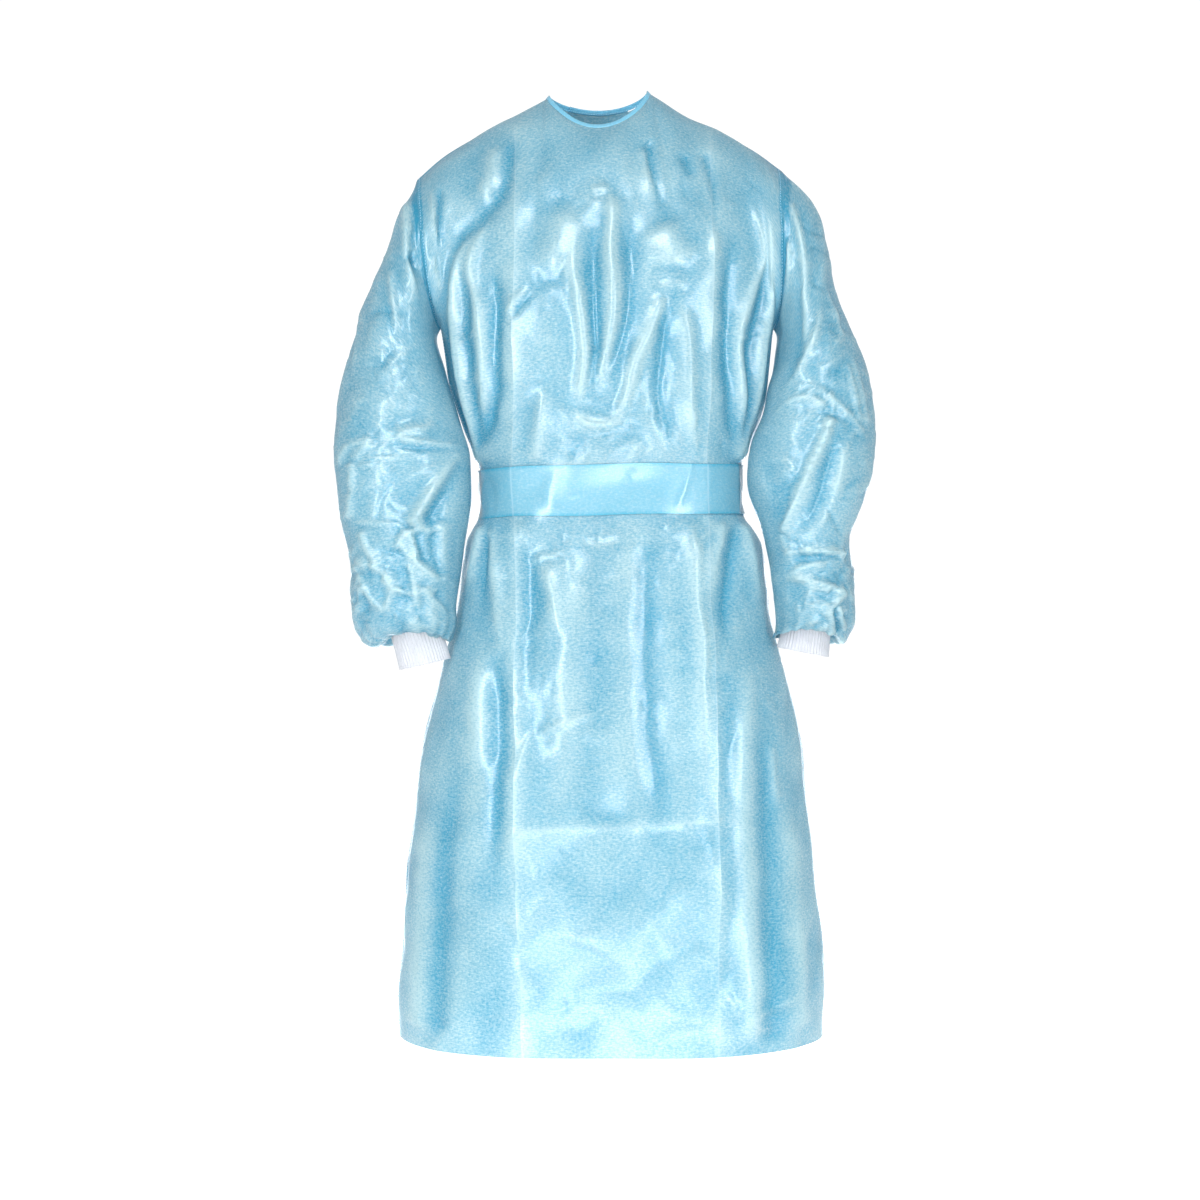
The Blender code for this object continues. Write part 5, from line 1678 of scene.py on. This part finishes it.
# %% Shader values as expressions
class Amount:
    """One number of a shader that changes over the surface."""

    def __init__(self, tree, socket):
        self.tree = tree
        self.socket = socket

    def maths(self, operation, *values, clamp=False):
        """Add one Math node and return its result."""
        settings = {"operation": operation, "use_clamp": clamp}
        made = add_node(self.tree, "ShaderNodeMath", settings, dict(enumerate(values)))
        return Amount(self.tree, made[0])

    def kept(self):
        """The value, kept between 0 and 1."""
        return self.maths("ADD", self, 0.0, clamp=True)


def operator(operation, turned=False):
    """A method that writes an operator on an Amount as a Math node."""
    if turned:
        return lambda self, other: self.maths(operation, other, self)
    return lambda self, other: self.maths(operation, self, other)


SIGNS = {"add": "ADD", "sub": "SUBTRACT", "mul": "MULTIPLY", "truediv": "DIVIDE", "pow": "POWER"}
for sign, operation in SIGNS.items():
    setattr(Amount, f"__{sign}__", operator(operation))
    setattr(Amount, f"__r{sign}__", operator(operation, turned=True))


class Finish:
    """One material and the nodes in it."""

    def __init__(self, name):
        self.material = bpy.data.materials.new(name)
        self.material.use_nodes = True
        self.tree = self.material.node_tree
        self.shader = self.tree.nodes["Principled BSDF"]
        self.out = self.tree.nodes["Material Output"]
        self.place = self.add("ShaderNodeTexCoord")["Object"]

    def add(self, kind, settings=None, values=None):
        """Add any other node and return its outputs."""
        return add_node(self.tree, kind, settings, values)

    def amount(self, socket):
        """Wrap a socket, so that it can be used in an expression."""
        return Amount(self.tree, socket)

    def cut(self):
        """The flat cut's UV, and its two numbers."""
        uv = self.add("ShaderNodeUVMap", {"uv_map": "flat_cut"})["UV"]
        split = self.add("ShaderNodeSeparateXYZ", None, {0: uv})
        return uv, self.amount(split[0]), self.amount(split[1])

    def carried(self, name):
        """A number that the piece's points carry."""
        return self.amount(self.add("ShaderNodeAttribute", {"attribute_name": name})["Fac"])

    def noise(self, place, scale, detail=2.0, roughness=0.5):
        """Cloudy noise at a place; scale is in patches for each metre."""
        values = {"Vector": place, "Scale": scale, "Detail": detail, "Roughness": roughness}
        return self.amount(self.add("ShaderNodeTexNoise", None, values)["Fac"])

    def near(self, name, width):
        """1 on a line that the piece's points carry a distance from, 0 past a width."""
        distance = self.carried(name)
        size = distance.maths("ABSOLUTE", distance)
        return (1.0 - (size - 0.6 * width) / (0.4 * width)).kept()

    def colours(self, share, first, second):
        """A colour between two, by a share."""
        first, second = (
            (*colour, 1.0) if isinstance(colour, tuple) else colour for colour in (first, second)
        )
        values = {0: share, 6: first, 7: second}
        return self.add("ShaderNodeMix", {"data_type": "RGBA"}, values)[2]

    def mixed(self, share, first, second):
        """A shader between two, by a share."""
        return self.add("ShaderNodeMixShader", None, {0: share, 1: first, 2: second})[0]

    def bump(self, height, strength, distance, under=None):
        """A bump from a height; another bump may lie under it."""
        values = {"Height": height, "Strength": strength, "Distance": distance}
        if under is not None:
            values["Normal"] = under
        return self.add("ShaderNodeBump", None, values)["Normal"]

    def surface(self, **values):
        """Set or link sockets of the main shader, named with _ for a space."""
        for socket, value in values.items():
            put(self.tree, self.shader.inputs[socket.replace("_", " ")], value)


# %% [markdown]
# ## The gown's cloth
#
# Spun fibres lie every way, so the cloth is cloudy at a scale of a millimetre or two, and the
# heated roller leaves a staggered grid of tiny flat bonds. The film gives it a satin shine.
# Light also comes through: part of the shader is translucent, and a little is clear. Where
# the film was creased hard it turned whiter, and where it lies double at a seam it is deeper.
# The folds' crests are painted paler and their hollows deeper: painted highlight and shade.

# %% The cloth's finish
BOND_PITCH = 0.0013
BOND_SIZE = 0.30
CREASE_LINE = 0.0012
ALLOWANCE = 0.009
CREASE_WHITE = (0.80, 0.90, 0.94)
SEEN_THROUGH = (0.93, 0.98, 1.0, 1.0)


def bond_dots(u, v):
    """1 on each bond of a staggered grid, 0 between them."""
    u = u / BOND_PITCH
    v = v / (BOND_PITCH * 0.8)
    row = v.maths("FLOOR", v)
    shifted = u + 0.5 * row.maths("MODULO", row, 2.0)
    du = shifted.maths("FRACT", shifted) - 0.5
    dv = v.maths("FRACT", v) - 0.5
    distance = (du * du + dv * dv) ** 0.5
    return 1.0 - ((distance - BOND_SIZE * 0.6) / (BOND_SIZE * 0.6)).kept()


def cloth_finish(name, pale, deep, through, clear, shine):
    """Non-woven cloth: its paler and deeper tones, how much light passes, its roughness."""
    finish = Finish(name)
    place = finish.place
    uv, u, v = finish.cut()
    cloud = finish.noise(place, 16.0, 3.0)
    web = finish.noise(uv, 300.0, 4.0, 0.7)
    drawn_out = {"Vector": uv, "Scale": (160.0, 700.0, 1.0), "Rotation": (0, 0, 0.4)}
    strand_place = finish.add("ShaderNodeMapping", None, drawn_out)[0]
    strands = finish.noise(strand_place, 1.0, 2.0, 0.6)
    dots = bond_dots(u, v)
    crease = finish.near("crease_along", CREASE_LINE)
    crease = (crease + finish.near("crease_across", CREASE_LINE)).kept()
    doubled = finish.near("from_seam", ALLOWANCE)
    fibres = (cloud - 0.5) * 0.5 + (web - 0.5) * 1.7 + (strands - 0.5) * 1.3 + dots * 0.08
    # Tone: random fibres, deeper where the cloth lies double, and painted highlight and shade from
    # relief, paler on the folds' crests and deeper in their hollows.
    tone_with_painted_shade = (0.44 + fibres + doubled * 0.45 - finish.carried("relief") * 0.38).kept()
    whitened = (crease * 0.30 + (strands + web - 1.1) * 0.9).kept()
    colour = finish.colours(whitened, finish.colours(tone_with_painted_shade, pale, deep), CREASE_WHITE)
    wrinkles = finish.noise(place, 42.0, 3.0, 0.55)
    fine = finish.noise(place, 130.0, 2.0, 0.6)
    roll = finish.bump(wrinkles * 0.7 + fine * 0.3, 0.35, 0.004)
    normal = finish.bump(web * 0.6 - dots * 0.5 + strands * 0.4, 0.22, 0.0004, roll)
    roughness = shine + (web - 0.5) * 0.16 + (cloud - 0.5) * 0.10 + crease * 0.15
    finish.surface(Base_Color=colour, Roughness=roughness, Normal=normal)
    film = (0.75 + (cloud - 0.5) * 1.2 + (web - 0.5) * 1.2 + (strands - 0.5) * 0.8).kept()
    finish.surface(Coat_Weight=film, Coat_Roughness=0.20, Coat_IOR=1.7, Specular_IOR_Level=0.85)
    lit = [
        finish.add("ShaderNodeBsdfTranslucent", None, {"Color": (*tint, 1.0), "Normal": normal})
        for tint in (pale, deep)
    ]
    # The light passing through takes the same painted highlight and shade.
    passing = finish.mixed(tone_with_painted_shade, lit[0][0], lit[1][0])
    glow = finish.mixed(through, finish.shader.outputs[0], passing)
    see = finish.add("ShaderNodeBsdfTransparent", None, {"Color": SEEN_THROUGH})[0]
    put(finish.tree, finish.out.inputs["Surface"], finish.mixed(clear, glow, see))
    return finish.material


gown_cloth = cloth_finish(
    "gown_cloth_film", (0.600, 0.755, 0.770), (0.045, 0.385, 0.555), 0.50, 0.24, 0.38
)
belt_cloth = cloth_finish(
    "belt_cloth", (0.310, 0.545, 0.640), (0.050, 0.400, 0.570), 0.30, 0.05, 0.50
)
tape_cloth = cloth_finish(
    "neck_tape_cloth", (0.260, 0.640, 0.820), (0.130, 0.500, 0.720), 0.22, 0.02, 0.55
)

# %% [markdown]
# ## Knit, hook-and-loop and thread
#
# The cuff's ribs are already in its form, so its material only adds the loops of yarn: small
# arches along each rib, with fuzz between them. The tab is a mat of tiny loops.

# %% The other finishes
LOOP_PITCH = 0.0011
LOOP_HALF_WIDTH = 0.0021
LOOP_LEAN = 0.0005


def knit_finish():
    """White cotton knit: rows of small loops, soft and matt."""
    finish = Finish("cuff_rib_knit")
    _, u, v = finish.cut()
    side = u.maths("PINGPONG", u, LOOP_HALF_WIDTH) * (1 / LOOP_HALF_WIDTH)
    lean = (v + side * LOOP_LEAN) * (2 * math.pi / LOOP_PITCH)
    loops = lean.maths("SINE", lean) * 0.5 + 0.5
    fuzz = finish.noise(finish.place, 900.0, 3.0, 0.7)
    cloud = finish.noise(finish.place, 60.0, 2.0)
    # Paler on the raised loops and darker between them: painted shade, with random fuzz and
    # cloudiness on top.
    shade = (0.25 + loops * 0.45 + (fuzz - 0.5) * 0.8 + (cloud - 0.5) * 0.3).kept()
    colour = finish.colours(shade, (0.34, 0.36, 0.41), (0.60, 0.615, 0.645))
    normal = finish.bump(loops * 0.7 + fuzz * 0.5, 0.5, 0.0005)
    finish.surface(Base_Color=colour, Roughness=0.86 + (fuzz - 0.5) * 0.2, Normal=normal)
    finish.surface(Sheen_Weight=0.35, Sheen_Roughness=0.5, Specular_IOR_Level=0.3)
    return finish.material


def tab_finish():
    """Hook-and-loop tape: a mat of tiny loops."""
    finish = Finish("closing_tab_loops")
    cells = {"Vector": finish.place, "Scale": 900.0}
    loops = finish.amount(finish.add("ShaderNodeTexVoronoi", None, cells)["Distance"])
    fuzz = finish.noise(finish.place, 1500.0, 2.0)
    # Paler on the tops of the loops and darker between them: painted shade, with random fuzz.
    shade = (loops * 1.1 + (fuzz - 0.5) * 0.4).kept()
    colour = finish.colours(shade, (0.86, 0.91, 0.95), (0.62, 0.72, 0.80))
    normal = finish.bump(1.0 - loops + fuzz * 0.4, 0.8, 0.0006)
    roughness = 0.8 + (fuzz - 0.5) * 0.2
    finish.surface(Base_Color=colour, Roughness=roughness, Normal=normal, Sheen_Weight=0.3)
    return finish.material


def thread_finish(name, light, dark):
    """Twisted sewing thread."""
    finish = Finish(name)
    twist = finish.noise(finish.place, 2600.0, 1.0)
    colour = finish.colours(twist, light, dark)
    finish.surface(Base_Color=colour, Roughness=0.5 + (twist - 0.5) * 0.3, Sheen_Weight=0.2)
    return finish.material


cuff_knit = knit_finish()
tab_loops = tab_finish()
blue_thread = thread_finish("thread_pale_blue", (0.55, 0.84, 0.95), (0.34, 0.66, 0.84))
deep_thread = thread_finish("thread_deep_blue", (0.14, 0.48, 0.64), (0.05, 0.30, 0.46))
white_thread = thread_finish("thread_white", (0.90, 0.93, 0.96), (0.72, 0.78, 0.84))

# %% Put each finish on its pieces
FINISHES = (
    (gown_cloth, (front, back_over, back_under, sleeve_right, sleeve_left)),
    (belt_cloth, (belt, knot_roll, knot_wrap, belt_end_left, belt_end_right)),
    (tape_cloth, (neck_binding,)),
    (cuff_knit, (cuff_right, cuff_left)),
    (tab_loops, (tab,)),
)
for finish, pieces in FINISHES:
    for piece in pieces:
        piece.data.materials.clear()
        piece.data.materials.append(finish)

# %% [markdown]
# ## Sewing the pieces together
#
# Each line of stitches follows a line that the pieces already have: the neckline, the side
# seams, the cuffs' joins and the tab's edge. Two tacks hold the belt's fold. The shoulder and
# armhole seams are sewn from the inside, so they show no thread.

# %% The lines of stitches
THREAD_RAISE = 0.00015
TAPE_STITCH_UP = 0.0006
TAPE_STITCH_RAISE = 0.0002
TOPSTITCH_IN = 0.0030
LINE_STEP = 0.002
TACK_STEP = 0.001
TACK_X = 0.1560
TACK_HEIGHTS = (-0.4935, -0.4970)
TACK_POINTS = 5
CUFF_LINE_POINTS = 240
TAB_INSET = (3, 6)
StitchRow = namedtuple("StitchRow", "name slot thread pitch length thickness seed lines")


def sewn(row):
    """Rows of stitches along some lines, as one plain mesh."""
    curve = bpy.data.curves.new(row.name, "CURVE")
    curve.dimensions = "3D"
    for line in row.lines:
        spline = curve.splines.new("POLY")
        spline.points.add(len(line) - 1)
        points = np.column_stack((swayed(line), np.ones(len(line))))
        spline.points.foreach_set("co", points.reshape(-1))
    item = placed(row.name + "_line", curve)
    rows = item.modifiers.new("Stitches", "NODES")
    rows.node_group = STITCH_TREE
    for socket, value in (
        ("Pitch", row.pitch),
        ("Thread length", row.length),
        ("Thread thickness", row.thickness),
        ("Seed", row.seed),
        ("Thread", row.thread),
    ):
        rows[STITCH_INPUTS[socket]] = value
    piece = stands_for(plain_mesh(item, row.name), None)
    print(f"{row.name}: {len(piece.data.polygons)} faces")
    return piece


def beside_seam(grid, face, edge):
    """A line on a panel's surface, a topstitch's distance in from its side edge."""
    surface = (grid + outward(grid, face) * (CLOTH_WALL / 2 + THREAD_RAISE))[:, ::-edge]
    steps = np.linalg.norm(np.diff(grid[:, ::-edge], axis=1), axis=2)
    line = []
    for row, run in zip(surface, np.cumsum(steps, axis=1)):
        line.append(row[min(int(np.searchsorted(run, TOPSTITCH_IN)) + 1, len(row) - 1)])
    return evenly(np.array(line), LINE_STEP)


def round_cuff(side):
    """A ring on the sleeve's turned edge, where the cuff is sewn in."""
    spread, rise = CUFF_SEAM_TURN[0]
    spread += CLOTH_WALL / 2 + THREAD_RAISE
    ring = cuff_ring(CUFF_ROWS[side][0], CUFF_LINE_POINTS, side, spread) + (0.0, 0.0, rise)
    return evenly(np.vstack((ring, ring[:1])), LINE_STEP)


def tab_border():
    """A frame of stitches just inside the tab's edge."""
    surface = tab_grid + outward(tab_grid, BACK) * (TAB_WALL / 2 + THREAD_RAISE)
    up, aside = TAB_INSET
    inset = surface[up:-up, aside:-aside]
    sides = (inset[0], inset[1:, -1], inset[-1, -2::-1], inset[-2::-1, 0])
    return evenly(np.concatenate(sides), LINE_STEP)


def belt_tacks():
    """Two short tacks across the belt, where it turns the wearer's left side."""
    surface = belt_band + outward(belt_band, FRONT) * (BELT_WALL / 2 + THREAD_RAISE)
    in_front = (belt_band[0, :, 1] < 0.0) & (belt_band[0, :, 0] > TACK_X)
    lines = []
    for z in TACK_HEIGHTS:
        row = int(np.argmin(np.abs(belt_band[:, in_front, 2].mean(axis=1) - z)))
        lines.append(evenly(surface[row, in_front][:TACK_POINTS], TACK_STEP))
    return lines


tape_surface = tape_out * (TAPE_HALF_THICKNESS + TAPE_STITCH_RAISE)
neck_seam = evenly(neck_line + tape_rise * TAPE_STITCH_UP + tape_surface, LINE_STEP)
SIDE_SEAMS = {
    "front": [beside_seam(front_grid, FRONT, edge) for edge in (-1, 1)],
    "back": [beside_seam(back_over_grid, BACK, -1), beside_seam(back_under_grid, BACK, 1)],
}
STITCH_ROWS = (
    StitchRow(
        "neck_tape_stitches", "binding_tape", blue_thread, 0.0031, 0.0024, 0.00052, 3, [neck_seam]
    ),
    *(
        StitchRow(
            f"side_seam_stitches_{face}", "gown_cloth", blue_thread, 0.0040, 0.0030, 0.00050, seed,
            SIDE_SEAMS[face],
        )
        for face, seed in (("front", 5), ("back", 6))
    ),
    *(
        StitchRow(
            f"cuff_seam_stitches_{name}", "cuff_knit", white_thread, 0.0030, 0.0023, 0.00055, seed,
            [round_cuff(side)],
        )
        for name, side, seed in (("right", RIGHT, 8), ("left", LEFT, 9))
    ),
    StitchRow(
        "tab_stitches", "hook_and_loop", white_thread, 0.0028, 0.0021, 0.00050, 10, [tab_border()]
    ),
    StitchRow(
        "belt_tack_stitches", "belt_cloth", deep_thread, 0.0024, 0.0023, 0.00070, 11, belt_tacks()
    ),
)
stitches = {row.name: sewn(row) for row in STITCH_ROWS}

# %% [markdown]
# ## Floor, light and camera
#
# The photograph's light is broad and white, from the front and both sides, on a white
# background. A white world gives some of it, more from behind the gown than from the front.
# Five soft lamps do the rest: the two at the sides, the one above and the low one give the
# film its highlights, and the one behind shines through the cloth. The floor also glows, more
# behind the gown than in front: painted light that lights the gown from behind and below. The
# camera stands 3.2 m in front, level with the middle of the gown.

# %% The floor
FLOOR_Z = -1.59
FLOOR_HALF = 6.0
FLOOR_GLOW = 0.9
floor_mesh = bpy.data.meshes.new("pale_floor")
corner_signs = ((-1, -1), (1, -1), (1, 1), (-1, 1))
floor_corners = [(a * FLOOR_HALF, b * FLOOR_HALF, FLOOR_Z) for a, b in corner_signs]
floor_mesh.from_pydata(floor_corners, [], [(0, 1, 2, 3)])
floor = bpy.data.objects.new("pale_floor", floor_mesh)
bpy.context.scene.collection.objects.link(floor)
floor_paint = Finish("floor_pale_glowing")
floor_cloud = floor_paint.noise(floor_paint.place, 1.2)
parts = floor_paint.add("ShaderNodeSeparateXYZ", None, {0: floor_paint.place})
# The floor glows, brighter behind the gown than in front: a painted glow that lights the gown from
# behind and below.
behind = 0.3 + 0.7 * (floor_paint.amount(parts["Y"]) * 2.0 - 0.9).kept()
floor_paint.surface(
    Base_Color=floor_paint.colours(floor_cloud, (0.96, 0.96, 0.96), (0.90, 0.90, 0.90)),
    Roughness=0.8 + (floor_cloud - 0.5) * 0.1,
    Emission_Color=floor_paint.colours(behind, (0.0, 0.0, 0.0), (1.0, 1.0, 1.0)),
    Emission_Strength=FLOOR_GLOW,
)
floor.data.materials.append(floor_paint.material)

# %% The light
LIGHT_IN_FRONT = 0.10
LIGHT_BEHIND = 0.85
LIGHT_TURN = (-0.3, 0.6)
SKY_COLOUR = (0.97, 0.99, 1.0, 1.0)
BACKDROP = {"Color": (1.0, 1.0, 1.0, 1.0), "Strength": 1.05}
world = bpy.data.worlds.new("soft_studio")
bpy.context.scene.world = world
world.use_nodes = True
sky = world.node_tree.nodes["Background"]
add = partial(add_node, world.node_tree)
parts = add("ShaderNodeSeparateXYZ", None, {0: add("ShaderNodeTexCoord")["Generated"]})
ramp = {"Value": parts["Y"], "From Min": LIGHT_TURN[0], "From Max": LIGHT_TURN[1]}
ramp |= {"To Min": LIGHT_IN_FRONT, "To Max": LIGHT_BEHIND}
brightness = add("ShaderNodeMapRange", {"interpolation_type": "SMOOTHSTEP"}, ramp)
put(world.node_tree, sky.inputs["Strength"], brightness["Result"])
put(world.node_tree, sky.inputs["Color"], SKY_COLOUR)
seen = add("ShaderNodeLightPath")["Is Camera Ray"]
backdrop = add("ShaderNodeBackground", None, BACKDROP)[0]
either = add("ShaderNodeMixShader", None, {0: seen, 1: sky.outputs[0], 2: backdrop})[0]
put(world.node_tree, world.node_tree.nodes["World Output"].inputs["Surface"], either)
Lamp = namedtuple("Lamp", "name place aim width height power")
LAMPS = (
    Lamp("softbox_to_the_left", (-1.35, -2.3, -0.25), (0.0, 0.0, -0.75), 0.42, 1.8, 44.0),
    Lamp("softbox_to_the_right", (1.50, -2.2, -0.35), (0.0, 0.0, -0.80), 0.42, 1.8, 35.0),
    Lamp("softbox_above", (0.05, -2.3, 1.25), (0.0, 0.0, -0.5), 1.2, 0.6, 40.0),
    Lamp("softbox_low", (0.0, -2.6, -1.35), (0.0, 0.0, -1.0), 1.5, 0.4, 22.0),
    Lamp("softbox_behind", (0.0, 1.9, -1.0), (0.0, 0.0, -0.9), 1.6, 1.2, 44.0),
)
for lamp in LAMPS:
    light = bpy.data.lights.new(lamp.name, "AREA")
    light.shape = "RECTANGLE"
    light.size, light.size_y = lamp.width, lamp.height
    light.energy = lamp.power
    item = bpy.data.objects.new(lamp.name, light)
    item.location = lamp.place
    aside, ahead, up = np.array(lamp.aim) - np.array(lamp.place)
    tilt = math.atan2(math.hypot(aside, ahead), -up)
    item.rotation_euler = (tilt, 0.0, math.atan2(ahead, aside) - math.pi / 2)
    bpy.context.scene.collection.objects.link(item)

# %% The camera
CAMERA_PLACE = (-0.00625, -3.2, -0.63)
CAMERA_LENS = 76.8
camera_data = bpy.data.cameras.new("front_camera")
camera_data.sensor_width = 36.0
camera_data.lens = CAMERA_LENS
camera = bpy.data.objects.new("front_camera", camera_data)
camera.location = CAMERA_PLACE
camera.rotation_euler = (math.pi / 2, 0.0, 0.0)
bpy.context.scene.collection.objects.link(camera)
bpy.context.scene.camera = camera
bpy.context.scene.view_settings.view_transform = "Standard"
